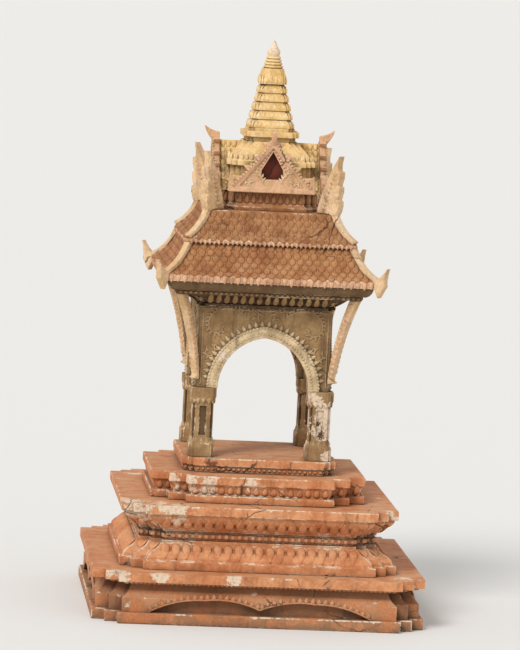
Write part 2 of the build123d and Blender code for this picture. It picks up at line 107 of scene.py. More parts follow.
# %% Wires
class Wire:
    """A socket that can be used in an expression."""

    def __init__(self, graph, socket):
        self.graph = graph
        self.socket = socket

    def __add__(self, other):
        return self.graph.maths("ADD", self, other)

    def __sub__(self, other):
        return self.graph.maths("SUBTRACT", self, other)

    def __rsub__(self, other):
        return self.graph.maths("SUBTRACT", other, self)

    def __mul__(self, other):
        return self.graph.maths("MULTIPLY", self, other)

    def __truediv__(self, other):
        return self.graph.maths("DIVIDE", self, other)

    def __rtruediv__(self, other):
        return self.graph.maths("DIVIDE", other, self)

    def __pow__(self, other):
        return self.graph.maths("POWER", self, other)

    __radd__ = __add__
    __rmul__ = __mul__


print("wires ready")

# %% [markdown]
# A Graph adds any other node: its type, its settings, then what its sockets hold or are linked to. The
# settings come first, because some of them decide which sockets a node has. The same class serves the
# paints and the Geometry Nodes trees.


# %% Graphs
class Graph:
    """One node tree, to which named nodes and expressions are added."""

    def __init__(self, tree):
        self.tree = tree
        tree.nodes.clear()

    def node(self, kind, settings=None, sockets=None, out=0):
        """Add a node: settings first, then a value or a wire for each named socket."""
        made = self.tree.nodes.new(kind)
        for name, value in (settings or {}).items():
            setattr(made, name, value)
        for key, value in (sockets or {}).items():
            self.feed(made.inputs[key], value)
        return Wire(self, made.outputs[out]) if made.outputs else None

    def feed(self, socket, value):
        """Link a wire to a socket, or set the socket's own value."""
        if isinstance(value, Wire):
            self.tree.links.new(value.socket, socket)
        else:
            socket.default_value = value

    def maths(self, operation, *values):
        return self.node("ShaderNodeMath", {"operation": operation}, dict(enumerate(values)))

    def vector(self, x, y, z):
        return self.node("ShaderNodeCombineXYZ", None, {"X": x, "Y": y, "Z": z})

    def part(self, vector, axis):
        return self.node("ShaderNodeSeparateXYZ", None, {"Vector": vector}, axis)

    def ease(self, value, low, high):
        """Go smoothly from 0 at the low value to 1 at the high value."""
        settings = {"interpolation_type": "SMOOTHSTEP"}
        return self.node("ShaderNodeMapRange", settings, {"Value": value, "From Min": low, "From Max": high})

    def blend(self, first, second, share, kind="MIX"):
        """Mix two colours, or multiply the first by the second."""
        settings = {"data_type": "RGBA", "blend_type": kind}
        return self.node("ShaderNodeMix", settings, {"Factor": share, "A": first, "B": second}, "Result")


print("graphs ready")

# %% [markdown]
# The paint is the heart of the likeness. On the real house it is house paint over grey cement: patchy
# from the sun, streaked by rain, dusty on every ledge, flaked off in places and rubbed through to pale
# cement on some edges, finely cracked, and dark with dirt in the hollows, where shade is painted in as
# well. The colours of that ageing and of the painted shade are the same on every part, so they are named
# once, as they look on a screen.


# %% Colours of age
def srgb(red, green, blue):
    """Turn a colour as seen on a screen, 0 to 255, into the linear colour that the shaders use."""

    def linear(level):
        share = level / 255
        return share / 12.92 if share <= 0.04045 else ((share + 0.055) / 1.055) ** 2.4

    return (linear(red), linear(green), linear(blue), 1.0)


CEMENT_PALE = srgb(228, 206, 180)
CEMENT_DARK = srgb(168, 146, 122)
# The dirt colour also darkens hollows as painted shade:
DIRT_AND_SHADE = srgb(44, 32, 24)
DUST = srgb(184, 152, 118)
# A dark brown that is partly paint and partly painted shade in recesses, grooves and hollows:
BROWN_AND_SHADE = srgb(66, 46, 32)
MUD = srgb(96, 78, 60)
BLOT_DARK = (0.6, 0.57, 0.55, 1.0)
BLOT_PALE = (1.12, 1.1, 1.08, 1.0)
print("bare cement in linear light", [round(level, 2) for level in CEMENT_PALE[:3]])

# %% [markdown]
# Real wear is uneven at several sizes at once. Four noises, from patches as large as a hand down to grains
# of sand, are shared by the layers of the paint, so that the layers agree with each other. They are
# three-dimensional and in metres, so they run unbroken round corners. A layer may also read how far the
# surface faces up, because dust settles there, and the marks that the castings will carry.

# %% Patterns that the layers share
PATCH_SCALE, BLOT_SCALE, PORE_SCALE, GRAIN_SCALE = 8, 36, 210, 900


def noise(graph, place, scale, detail, roughness=0.55):
    sockets = {"Vector": place, "Scale": scale, "Detail": detail, "Roughness": roughness}
    return graph.node("ShaderNodeTexNoise", None, sockets)


def mark(graph, label):
    """Read a number that the mesh carries as an attribute."""
    return graph.node("ShaderNodeAttribute", {"attribute_name": label}, None, "Fac")


class Surface:
    """The place on the house, the way up, and the noises from large to fine."""

    def __init__(self, graph):
        self.place = graph.node("ShaderNodeTexCoord", out="Object")
        self.up = graph.part(graph.node("ShaderNodeTexCoord", out="Normal"), 2)
        self.patches = noise(graph, self.place, PATCH_SCALE, 5)
        self.blots = noise(graph, self.place, BLOT_SCALE, 6, 0.62)
        self.pores = noise(graph, self.place, PORE_SCALE, 4, 0.6)
        self.grain = noise(graph, self.place, GRAIN_SCALE, 2)


print("largest patches", round(1 / PATCH_SCALE, 3), "m, finest grain", round(1 / GRAIN_SCALE, 4), "m")

# %% [markdown]
# The layers go on in the order in which they came to the real house. First the coat of paint, with its
# faded patches, its pale trim and the dark brown in its hollows, which is partly paint and partly painted
# shade. Then what the weather left on it: rain streaks on the walls, dust on the ledges, and mud that the
# rain splashed against the foot. Each layer is a short function, which is easier to read and to change
# than one long web.

# %% The coat and the weather
STREAK_SCALE = 70
STREAK_STRETCH = 0.09
SPLASH_TOP = 0.09


def base_coat(graph, surface, main, faded, trim):
    """Give the coat of paint, patchy and blotchy, with its trim, and the dark brown that is partly paint and
    partly painted shade in its hollows.
    """
    patches, blots, pores = surface.patches, surface.blots, surface.pores
    colour = graph.blend(main, faded, graph.ease(patches * 0.6 + blots * 0.4, 0.38, 0.6))
    kept_trim = 0.55 + graph.ease(patches * 0.5 + blots * 0.5, 0.42, 0.56) * 0.45
    colour = graph.blend(colour, trim, mark(graph, "tone") * kept_trim)
    # The dark brown mark: partly paint, partly painted shade in the recesses.
    colour = graph.blend(colour, BROWN_AND_SHADE, mark(graph, "deep") * 0.8)
    shade = graph.blend(BLOT_DARK, BLOT_PALE, graph.ease(blots * 0.5 + pores * 0.5, 0.38, 0.6))
    return graph.blend(colour, shade, 0.55, "MULTIPLY")


def weather(graph, surface, colour, streaks, dust, splash):
    """Add streaks, dust and mud. Gives the colour and where the dust lies."""
    place, up, blots = surface.place, surface.up, surface.blots
    run = graph.node("ShaderNodeMapping", None, {"Vector": place, "Scale": (1.0, 1.0, STREAK_STRETCH)})
    wet = graph.ease(noise(graph, run, STREAK_SCALE, 3), 0.52, 0.72) * graph.ease(up, 0.75, 0.2) * streaks
    colour = graph.blend(colour, DIRT_AND_SHADE, wet * 0.55)
    settled = graph.ease(up, 0.35, 0.95) * graph.ease(blots, 0.4, 0.62) * dust
    colour = graph.blend(colour, DUST, settled)
    splashed = graph.ease(graph.part(place, 2), SPLASH_TOP, 0.0) * graph.ease(blots, 0.36, 0.58) * splash
    return graph.blend(colour, MUD, splashed), settled


print("mud reaches", SPLASH_TOP, "m up")

# %% [markdown]
# Paint leaves cement in three ways. It is rubbed off edges, it flakes off in small scabs, and in a few
# places a large piece has come away, each given as a spot and a radius with a ragged border. Cracks are
# the borders of large bent cells, shown only in some patches, because an even net of cracks looks drawn.

# %% Lost paint and cracks
FLAKE_SCALE = 24
CRACK_SCALE = 8
WANDER_SCALE = 20
CRACK_BEND = 0.03


def lost_paint(graph, surface, wear, lost):
    """Give where the cement is bare, from 0 to 1."""
    patches, blots, pores = surface.patches, surface.blots, surface.pores
    rubbed = mark(graph, "worn") * 0.36 + blots * 0.55 + patches * 0.4 + pores * 0.25
    edges = graph.ease(rubbed, 1.02 - 0.1 * wear, 1.08 - 0.1 * wear)
    scabs = noise(graph, surface.place, FLAKE_SCALE, 7, 0.68)
    bare = graph.maths("MAXIMUM", edges, graph.ease(scabs, 0.69 - 0.05 * wear, 0.71 - 0.05 * wear))
    for spot, radius in lost:
        ends = {0: surface.place, 1: spot}
        away = graph.node("ShaderNodeVectorMath", {"operation": "DISTANCE"}, ends, "Value")
        ragged = 0.35 - away / radius + blots * 2.2 + pores * 0.7 - 1.45
        bare = graph.maths("MAXIMUM", bare, graph.ease(ragged, -0.05, 0.05))
    return bare


def cracks(graph, surface):
    """Give where a crack runs, from 0 to 1."""
    sockets = {"Vector": surface.place, "Scale": WANDER_SCALE, "Detail": 3}
    wander = graph.node("ShaderNodeTexNoise", None, sockets, "Color")
    sockets = {0: wander, 1: (CRACK_BEND,) * 3, 2: surface.place}
    bent = graph.node("ShaderNodeVectorMath", {"operation": "MULTIPLY_ADD"}, sockets)
    sockets = {"Vector": bent, "Scale": CRACK_SCALE}
    rift = graph.node("ShaderNodeTexVoronoi", {"feature": "DISTANCE_TO_EDGE"}, sockets)
    return graph.ease(rift, 0.011, 0.003) * graph.ease(surface.patches, 0.52, 0.6)


print("cells between cracks are about", round(1 / CRACK_SCALE, 3), "m wide")

# %% [markdown]
# The finished paint puts the layers together. Last the hollows are darkened, partly with dirt and partly
# with painted shade, where ambient occlusion finds them: it asks how much of the sky a point can see. The
# same noises that colour the paint also raise and lower it, so that a bare patch lies a little deeper than
# the paint around it and a crack reads as a groove.

# %% Weathered paint
# How dark the hollows get, partly dirt and partly painted shade:
HOLLOW_SHADE_AND_DIRT = 0.8
HOLLOW_REACH = 0.024


def weathered_paint(name, main, faded, trim, streaks=0.5, dust=0.5, wear=0.5, splash=0.0, lost=()):
    """Make one paint: its main, faded and trim colours, and how far each kind of ageing went."""
    material = bpy.data.materials.new(name)
    material.use_nodes = True
    graph = Graph(material.node_tree)
    surface = Surface(graph)
    patches, blots, pores = surface.patches, surface.blots, surface.pores

    colour = base_coat(graph, surface, main, faded, trim)
    colour, settled = weather(graph, surface, colour, streaks, dust, splash)
    bare = lost_paint(graph, surface, wear, lost)
    cement = graph.blend(CEMENT_DARK, CEMENT_PALE, graph.ease(pores * 0.6 + blots * 0.4, 0.36, 0.56))
    colour = graph.blend(colour, cement, bare * 0.9)
    crack = cracks(graph, surface)
    colour = graph.blend(colour, DIRT_AND_SHADE, crack * 0.75)
    # Painted shade in the hollows, with patchy dirt: ambient occlusion darkens what sees little sky.
    sky = graph.node("ShaderNodeAmbientOcclusion", {"samples": 4}, {"Distance": HOLLOW_REACH}, "AO")
    hollow_shade_and_dirt = graph.ease(sky, 0.84, 0.25) * (0.55 + graph.ease(blots, 0.3, 0.7) * 0.45) * HOLLOW_SHADE_AND_DIRT
    colour = graph.blend(colour, DIRT_AND_SHADE, hollow_shade_and_dirt)

    height = patches * 0.0012 + blots * 0.0014 + pores * 0.0005 + surface.grain * 0.00012
    height = height - bare * 0.0005 - crack * 0.0008
    shader = graph.node("ShaderNodeBsdfPrincipled", None, {
        "Base Color": colour,
        "Roughness": 0.68 + graph.ease(pores, 0.3, 0.7) * 0.2 + settled * 0.1,
        "Normal": graph.node("ShaderNodeBump", None, {"Strength": 0.8, "Distance": 1.0, "Height": height}),
        "Specular IOR Level": 0.35,
    })
    graph.node("ShaderNodeOutputMaterial", None, {"Surface": shader})
    return material


# The hollows are darkened with painted shade and dirt up to this reach.
print("dirt gathers in hollows up to", HOLLOW_REACH, "m wide")

# %% [markdown]
# Six paints dress the house. The base has lost the most, at its front left, where the edges are knocked
# as well, and the front right post is nearly bare. The tip of the spire has washed out to cement.

# %% The six paints
lost_base = (
    ((-0.145, -0.188, 0.252), 0.085), ((-0.222, -0.222, 0.205), 0.100), ((-0.090, -0.195, 0.240), 0.044),
    ((-0.150, -0.248, 0.203), 0.070), ((-0.020, -0.196, 0.238), 0.026), ((-0.190, -0.250, 0.120), 0.032),
    ((0.235, -0.200, 0.196), 0.030), ((-0.250, -0.288, 0.090), 0.055), ((-0.180, -0.294, 0.088), 0.036),
    ((-0.050, -0.294, 0.086), 0.030), ((-0.205, 0.180, 0.215), 0.045), ((0.150, 0.190, 0.250), 0.040),
    ((0.262, -0.240, 0.080), 0.036), ((-0.240, -0.280, 0.080), 0.040), ((0.120, 0.262, 0.110), 0.040),
    ((0.290, 0.120, 0.060), 0.030),
)
lost_body = (
    ((0.116, -0.122, 0.345), 0.125), ((0.128, -0.120, 0.288), 0.070), ((-0.110, 0.125, 0.310), 0.050),
    ((0.122, 0.060, 0.500), 0.030), ((-0.070, -0.124, 0.455), 0.024),
)
lost_gold = (((0.0, 0.0, 1.012), 0.034), ((-0.030, -0.034, 0.925), 0.020), ((0.04, -0.03, 0.87), 0.020))
paints = {
    "base_paint": weathered_paint(
        "red_brown_base_paint", srgb(200, 128, 82), srgb(216, 152, 106), srgb(222, 176, 142),
        wear=0.7, splash=0.6, lost=lost_base,
    ),
    "body_paint": weathered_paint(
        "khaki_wall_paint", srgb(150, 116, 77), srgb(174, 142, 98), srgb(222, 198, 158),
        streaks=0.8, wear=0.4, lost=lost_body,
    ),
    "roof_paint": weathered_paint(
        "orange_brown_roof_paint", srgb(160, 103, 62), srgb(180, 126, 80), srgb(218, 172, 136),
        dust=0.35,
    ),
    "gold_paint": weathered_paint(
        "dull_gold_paint", srgb(230, 188, 118), srgb(242, 210, 154), srgb(244, 218, 172),
        dust=0.3, lost=lost_gold,
    ),
    "ornament_paint": weathered_paint(
        "cream_gold_paint", srgb(216, 180, 130), srgb(228, 202, 162), srgb(216, 150, 116),
        dust=0.25, wear=0.7,
    ),
    "field_paint": weathered_paint(
        "maroon_recess_paint", srgb(96, 36, 20), srgb(116, 50, 30), srgb(150, 80, 50),
        dust=0.2, wear=0.2,
    ),
}
slot_of = {row["node"]: row["material_slot"] for row in frame["record"]["subparts"]}
print("mixed", len(paints), "paints for", len(slot_of), "nodes")

# %% [markdown]
# A casting never has knife edges: the mould rounds them, and handling rounds them more. The solids can't
# be changed, so each is copied. A copy's loose triangles are first merged back into flat faces, because
# only a real edge can be bevelled. Modifiers that do heavier work sit on a passing object, whose result is
# then kept as a plain mesh.

# %% Copies and plain meshes
FLAT = math.radians(0.7)
WELD = 1e-6


def link(name, mesh, slot):
    """Make an object of a mesh, give it its paint and let it ride with the house."""
    piece = bpy.data.objects.new(name, mesh)
    bpy.context.scene.collection.objects.link(piece)
    mesh.materials.clear()
    mesh.materials.append(paints[slot])
    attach(piece, "root")
    return piece


def draft_of(mesh):
    """Make a passing object, only to carry modifiers."""
    piece = bpy.data.objects.new("draft", mesh)
    bpy.context.scene.collection.objects.link(piece)
    return piece


def merged(node):
    """Copy a solid's mesh with its triangles merged into flat faces."""
    work = bmesh.new()
    work.from_mesh(nodes[node].data)
    bmesh.ops.remove_doubles(work, verts=work.verts, dist=WELD)
    bmesh.ops.dissolve_limit(work, angle_limit=FLAT, verts=work.verts, edges=work.edges)
    return work


def plain_mesh(piece, name):
    """Turn an object with modifiers into a plain mesh."""
    bpy.context.view_layer.update()
    graph = bpy.context.evaluated_depsgraph_get()
    mesh = bpy.data.meshes.new_from_object(piece.evaluated_get(graph))
    mesh.name = name
    bpy.data.objects.remove(piece)
    return mesh


sample = merged("terrace_slab")
loose = len(nodes["terrace_slab"].data.polygons)
print("the terrace has", loose, "triangles and", len(sample.faces), "merged faces")
sample.free()

# %% [markdown]
# The base has been knocked. Rough lumps are set on its outward edges, and cutting them out of the
# casting leaves the shallow broken hollows of chipped cement. Long edges get more knocks than short
# ones, and a fixed seed gives the same chips each time. The lumps carry a high value of an attribute called
# worn, which their cuts leave on the new faces, so that the paint shows bare cement there.

# %% Chips
EDGE = math.radians(24)
CHIP_SIZE = 9 * mm
CHIP_LIFT = 0.62
CHIP_STRETCH = Vector((1.5, 1.0, 0.8))
CHIPPED = 2.0


def chippings(work, count, seed, knocks):
    """Make rough lumps that sit on the outward edges of a casting, and on the named spots."""
    chance = random.Random(seed)
    outer = [e for e in work.edges if len(e.link_faces) == 2 and e.is_convex and e.calc_face_angle(0) > EDGE]
    weights = [e.calc_length() for e in outer]
    spots = []
    for edge in chance.choices(outer, weights, k=count):
        a, b = (v.co for v in edge.verts)
        out = sum((face.normal for face in edge.link_faces), Vector()).normalized()
        radius = CHIP_SIZE * chance.uniform(0.35, 1.0) ** 1.5
        spots.append((a.lerp(b, chance.uniform(0.05, 0.95)) + out * radius * CHIP_LIFT, radius))
    lumps = bmesh.new()
    worn = lumps.loops.layers.float.new("worn")
    for spot, radius in spots + knocks:
        turn = Euler([chance.uniform(0, math.tau) for axis in range(3)]).to_matrix()
        made = bmesh.ops.create_icosphere(lumps, subdivisions=2, radius=1)["verts"]
        for vert in made:
            reach = radius * chance.uniform(0.82, 1.08)
            vert.co = spot + turn @ (vert.co * CHIP_STRETCH * reach)
    for face in lumps.faces:
        for corner in face.loops:
            corner[worn] = CHIPPED
    mesh = bpy.data.meshes.new("chippings")
    lumps.to_mesh(mesh)
    lumps.free()
    return mesh


print("chips are up to", round(CHIP_SIZE * CHIP_STRETCH.x / mm, 1), "mm long")

# %% [markdown]
# Every real edge of the copy is bevelled, and the faces of the bevel are marked as worn. Two more marks,
# one for the paler trim and one for the dark brown that is partly paint and partly painted shade in
# recesses, come from rules on where a face lies. Then the chips are cut away by a Boolean. Weighted
# normals keep the large faces flat beside the rounded edges, which smooth shading alone would not.

# %% Round and chip a casting
SHARP = math.radians(38)
BEVEL_SEGMENTS = 2
BEVEL_FULLNESS = 0.55
FLATNESS = 80


def cut_away(mesh, lumps):
    """Cut the lumps out of a mesh."""
    cutter = draft_of(lumps)
    draft = draft_of(mesh)
    cut = draft.modifiers.new("chip", "BOOLEAN")
    cut.object = cutter
    cut.solver = "EXACT"
    cut.use_self = True
    chipped = plain_mesh(draft, "draft")
    bpy.data.objects.remove(cutter)
    return chipped


def rounded_casting(node, radius, chips=0, knocks=(), **marks):
    """Copy a solid with rounded edges, marked as worn, and with its painted areas marked."""
    work = merged(node)
    lumps = chippings(work, chips, node, list(knocks)) if chips else None
    real = [e for e in work.edges if len(e.link_faces) == 2 and e.calc_face_angle(0) > EDGE]
    rounded = bmesh.ops.bevel(
        work, geom=real, offset=radius, segments=BEVEL_SEGMENTS, profile=BEVEL_FULLNESS,
        affect="EDGES", clamp_overlap=True,
    )
    worn = work.loops.layers.float.new("worn")
    for face in rounded["faces"]:
        for corner in face.loops:
            corner[worn] = 1.0
    for label, share in marks.items():
        layer = work.loops.layers.float.new(label)
        for face in work.faces:
            for corner in face.loops:
                corner[layer] = share(face.calc_center_median())
    mesh = bpy.data.meshes.new("draft")
    work.to_mesh(mesh)
    work.free()
    if lumps:
        mesh = cut_away(mesh, lumps)
    mesh.shade_smooth()
    mesh.set_sharp_from_angle(angle=SHARP)
    draft = draft_of(mesh)
    even = draft.modifiers.new("even", "WEIGHTED_NORMAL")
    even.weight = FLATNESS
    even.keep_sharp = True
    cast = link(node + "_cast", plain_mesh(draft, node + "_cast"), slot_of[node])
    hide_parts(node)
    return cast


print("edges over", round(math.degrees(EDGE)), "degrees are rounded")

# %% [markdown]
# The base is cast first, because it alone is chipped. Its six broad blocks get about as many knocks as
# they have exposed edge, and five larger ones stand where the front left corner is broken. The sunk backs
# of the lion legs and the narrow waist get a share of dark brown, which is painted shade in these recesses.

# %% Cast the base
base_radius = 2.2 * mm
near = 1 * mm
plinth_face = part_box("lion_leg_plinth")[1].x
leg_recess = 20 * mm
leg_recess_top = 68 * mm
# Shares of dark brown painted as shade in the sunk backs of the lion legs and in the waist:
leg_shade, waist_shade = 0.45, 0.2
chip_counts = {
    "lion_leg_plinth": 60, "ground_board": 40, "lotus_foot": 26,
    "house_floor": 22, "lotus_head": 44, "terrace_slab": 40,
}
front_left_knocks = [
    (Vector((-0.134, -0.194, 0.256)), 17 * mm),
    (Vector((-0.104, -0.196, 0.257)), 10 * mm),
    (Vector((-0.166, -0.166, 0.257)), 12 * mm),
    (Vector((-0.208, -0.248, 0.208)), 17 * mm),
    (Vector((-0.246, -0.170, 0.209)), 14 * mm),
]


def reach_of(middle):
    """Distance of a point from the axis, measured squarely."""
    return max(abs(middle.x), abs(middle.y))


def recessed(middle):
    """The sunk back of the lion legs gets dark brown as painted shade."""
    behind = reach_of(middle) < plinth_face - leg_recess + near
    return float(behind and middle.z < leg_recess_top) * leg_shade


for node, chips in chip_counts.items():
    low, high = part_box(node)
    knocks = [(spot, size) for spot, size in front_left_knocks if low.z < spot.z - size < high.z]
    marks = {"deep": recessed} if node == "lion_leg_plinth" else {}
    cast = rounded_casting(node, base_radius, chips, knocks, **marks)
    print(cast.name, len(cast.data.polygons), "faces,", len(knocks), "large knocks")
rounded_casting("lotus_waist", base_radius, deep=lambda middle: waist_shade)

# %% [markdown]
# The pavilion was cast in finer moulds, so its edges are sharper. Dark brown, partly paint and partly
# painted shade, fills the grooves of the posts, the hollow frieze, the cornice and the ceiling, and pale
# trim covers the raised archivolts and the rims of both roofs. The crown and the spire are the finest of all.

# %% Cast the pavilion, the roofs and the spire
house_radius = 1.2 * mm
spire_radius = 0.9 * mm
field_radius = 0.5 * mm
posts = [name for name in nodes if name.startswith("post_")]
arches = [name for name in nodes if name.startswith("arch_")]
fields = [name for name in nodes if name.startswith("gable_field_")]
post_centre = 105 * mm
post_faces = 19 * mm
groove_low, groove_high = 312 * mm, 375 * mm
panel_outer = 118 * mm
eaves = {"lower_roof": 12 * mm, "upper_roof": 6 * mm}


def in_groove(middle):
    """The grooves of the posts get dark brown as painted shade."""
    across = [abs(abs(value) - post_centre) for value in (middle.x, middle.y)]
    return float(max(across) < post_faces - near and groove_low < middle.z < groove_high)


for node in posts:
    rounded_casting(node, house_radius, deep=in_groove)
# Dark brown, partly paint and partly painted shade, in the frieze, under the cornice and on the ceiling:
for node, brown_and_shade_share in (("coved_frieze", 1.0), ("cornice", 0.75), ("ceiling", 1.0)):
    rounded_casting(node, house_radius, deep=lambda middle: brown_and_shade_share)
for node in arches:
    rounded_casting(node, house_radius, tone=lambda middle: float(reach_of(middle) > panel_outer + near))
for node, rim in eaves.items():
    rim_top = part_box(node)[0].z + rim
    rounded_casting(node, house_radius, tone=lambda middle: float(middle.z < rim_top))
for node in ("gable_drum", "gable_roof", "spire_base", "spire_tiers", "spire_bell"):
    rounded_casting(node, spire_radius)
for node in fields:
    rounded_casting(node, field_radius)

# %% [markdown]
# The flames, antefixes, brackets and bargeboards were modelled by hand before they were cast, so they
# are soft all over. Bevels would leave them looking sawn. Instead each is melted into one skin, and the
# curvature of that skin says where it is worn: a point that stands out of its neighbours is rubbed, one
# that lies in a hollow is not. This cell measures the curvature, and the next one melts the skin.


# %% Attributes and curvature
def store(mesh, name, values):
    """Keep one number for each point of a mesh as an attribute."""
    kept = mesh.attributes.new(name, "FLOAT", "POINT")
    kept.data.foreach_set("value", np.asarray(values, np.float32))


def curvature(mesh):
    """Give how far each point stands out of its neighbours, spread over a few rings of points."""
    count = len(mesh.vertices)
    points = np.empty(count * 3, np.float32)
    normals = np.empty(count * 3, np.float32)
    edges = np.empty(len(mesh.edges) * 2, np.int64)
    mesh.vertices.foreach_get("co", points)
    mesh.vertices.foreach_get("normal", normals)
    mesh.edges.foreach_get("vertices", edges)
    points = points.reshape(-1, 3)
    normals = normals.reshape(-1, 3)
    a, b = edges.reshape(-1, 2).T
    links = np.bincount(a, minlength=count) + np.bincount(b, minlength=count)

    def neighbours(values):
        return (np.bincount(a, values[b], count) + np.bincount(b, values[a], count)) / links

    middle = np.stack([neighbours(points[:, axis]) for axis in range(3)], axis=1)
    length = np.linalg.norm(points[a] - points[b], axis=1).mean()
    out = ((points - middle) * normals).sum(1) / length
    for ring in range(2):
        out = 0.5 * out + 0.5 * neighbours(out)
    return out


print("curvature ready")

# %% [markdown]
# A voxel remesh melts the flat sides and edges of a solid into one skin, and a few rounds of smoothing take
# its steps away. Beside a thin tip it can leave a small loose shell, so shells of few points are dropped.

# %% Soften the ornaments
FINE_VOXEL, COARSE_VOXEL = 1.3 * mm, 1.6 * mm
FLAME_TONE, BOARD_TONE = 0.2, 0.55
MELT_ROUNDS = 5
CRUMB = 400
WORN_GAIN = 9


def drop_crumbs(mesh):
    """Take away the small loose shells that a voxel remesh leaves beside a thin tip."""
    work = bmesh.new()
    work.from_mesh(mesh)
    left = set(work.verts)
    while left:
        shell, front = set(), [left.pop()]
        while front:
            vert = front.pop()
            shell.add(vert)
            for edge in vert.link_edges:
                other = edge.other_vert(vert)
                if other in left:
                    left.discard(other)
                    front.append(other)
        if len(shell) < CRUMB:
            bmesh.ops.delete(work, geom=list(shell), context="VERTS")
    work.to_mesh(mesh)
    work.free()


def soft_ornament(node, voxel, tone):
    """Copy a solid as one soft skin, marked as worn where it stands out."""
    work = merged(node)
    mesh = bpy.data.meshes.new("draft")
    work.to_mesh(mesh)
    work.free()
    draft = draft_of(mesh)
    skin = draft.modifiers.new("skin", "REMESH")
    skin.mode = "VOXEL"
    skin.voxel_size = voxel
    melt = draft.modifiers.new("melt", "SMOOTH")
    melt.factor = 0.5
    melt.iterations = MELT_ROUNDS
    mesh = plain_mesh(draft, node + "_soft")
    drop_crumbs(mesh)
    mesh.shade_smooth()
    store(mesh, "worn", np.clip(curvature(mesh) * WORN_GAIN, 0, 1))
    store(mesh, "tone", np.full(len(mesh.vertices), tone))
    piece = link(node + "_soft", mesh, slot_of[node])
    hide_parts(node)
    return piece


ornaments = [name for name in nodes if slot_of[name] == "ornament_paint"]
for node in ornaments:
    voxel = COARSE_VOXEL if node in ("upper_hips", "eave_brackets") else FINE_VOXEL
    piece = soft_ornament(node, voxel, BOARD_TONE if "bargeboard" in node else FLAME_TONE)
    print(piece.name, len(piece.data.polygons), "faces")

# %% [markdown]
# Petals, leaves, tiles and pearls are one idea: a small soft form set again and again along a line. On the
# real house each was pressed into the mould with the same stamp, so here one Geometry Nodes tree does it.
# A tree is a Graph with named inputs, and it ends by making its instances real and painting them.


# %% Geometry Nodes trees
class GeometryGraph(Graph):
    """A Geometry Nodes tree with named inputs."""

    def __init__(self, name, inputs):
        super().__init__(bpy.data.node_groups.new(name, "GeometryNodeTree"))
        self.tree.interface.new_socket("Geometry", in_out="INPUT", socket_type="NodeSocketGeometry")
        for label, kind in inputs.items():
            self.tree.interface.new_socket(label, in_out="INPUT", socket_type="NodeSocket" + kind)
        self.tree.interface.new_socket("Geometry", in_out="OUTPUT", socket_type="NodeSocketGeometry")
        source = self.tree.nodes.new("NodeGroupInput")
        self.given = {socket.name: Wire(self, socket) for socket in source.outputs if socket.name}

    def named(self, label, kind):
        return self.node("GeometryNodeInputNamedAttribute", {"data_type": kind}, {"Name": label})

    def keep(self, geometry, label, value, domain="POINT"):
        settings = {"data_type": "FLOAT", "domain": domain}
        sockets = {"Geometry": geometry, "Name": label, "Value": value}
        return self.node("GeometryNodeStoreNamedAttribute", settings, sockets)

    def join(self, *shapes):
        joined = self.node("GeometryNodeJoinGeometry")
        for shape in shapes:
            self.feed(joined.socket.node.inputs["Geometry"], shape)
        return joined

    def finish(self, geometry, material):
        """End the tree with real, smooth geometry in its paint."""
        real = self.node("GeometryNodeRealizeInstances", None, {"Geometry": geometry})
        smooth = self.node("GeometryNodeSetShadeSmooth", None, {"Geometry": real})
        painted = self.node("GeometryNodeSetMaterial", None, {"Geometry": smooth, "Material": material})
        self.node("NodeGroupOutput", None, {"Geometry": painted})
        return self.tree


def grow(mesh, name, slot, tree, values):
    """Run a tree on a mesh, with its inputs set by name, and keep the result as a piece."""
    draft = draft_of(mesh)
    growth = draft.modifiers.new("growth", "NODES")
    growth.node_group = tree
    for socket in tree.interface.items_tree:
        if socket.name in values:
            growth[socket.identifier] = values[socket.name]
    piece = link(name, plain_mesh(draft, name), slot)
    print(name, len(piece.data.polygons), "faces")
    return piece


print("trees can be grown")

# %% [markdown]
# The stamp is a warped ball one unit high, wide and deep. A ball stays closed however it is warped, so the
# same form is a round pearl, a pointed petal or a flat tile: Point narrows its upper end to a tip, Lean
# tips that end outwards, and Share says how much of its step it fills. What stands out is marked as worn.


# %% The stamp
def make_stamp(graph):
    given = graph.given
    ball = graph.node("GeometryNodeMeshUVSphere", None, {
        "Segments": given["Segments"], "Rings": given["Rings"], "Radius": 1.0,
    })
    place = graph.node("GeometryNodeInputPosition")
    across, out, rise = (graph.part(place, axis) for axis in range(3))
    share_up = (rise + 1) * 0.5
    taper = 1 - given["Point"] * share_up ** 1.6
    shape = graph.vector(
        across * taper * given["Share"] * 0.5,
        out * 0.5 * (1 - 0.3 * given["Point"] * share_up) + given["Lean"] * share_up * share_up,
        share_up + given["Point"] * 0.12 * share_up ** 6,
    )
    worn = graph.ease(out, 0.2, 1.0) * 0.55 + graph.ease(share_up, 0.75, 1.0) * 0.35
    marked = graph.keep(graph.keep(ball, "worn", worn), "tone", given["Tone"])
    # The share of dark brown, partly paint and partly painted shade.
    marked = graph.keep(marked, "deep", given["Deep"])
    return graph.node("GeometryNodeSetPosition", None, {"Geometry": marked, "Position": shape})


print("stamp ready")

# %% [markdown]
# The tree's input is a set of lines whose points say which way is up and which way is out. Each line is
# divided into whole steps, as a maker would space them, and a stamp is set at the middle of every step and
# sized to it, a little larger or smaller by chance. A stem, where it is wanted, is a round cord swept along
# the same lines.

# %% The tree that sets ornaments in rows
STEM_SIDES = 6
SMALLEST, LARGEST = 0.92, 1.08


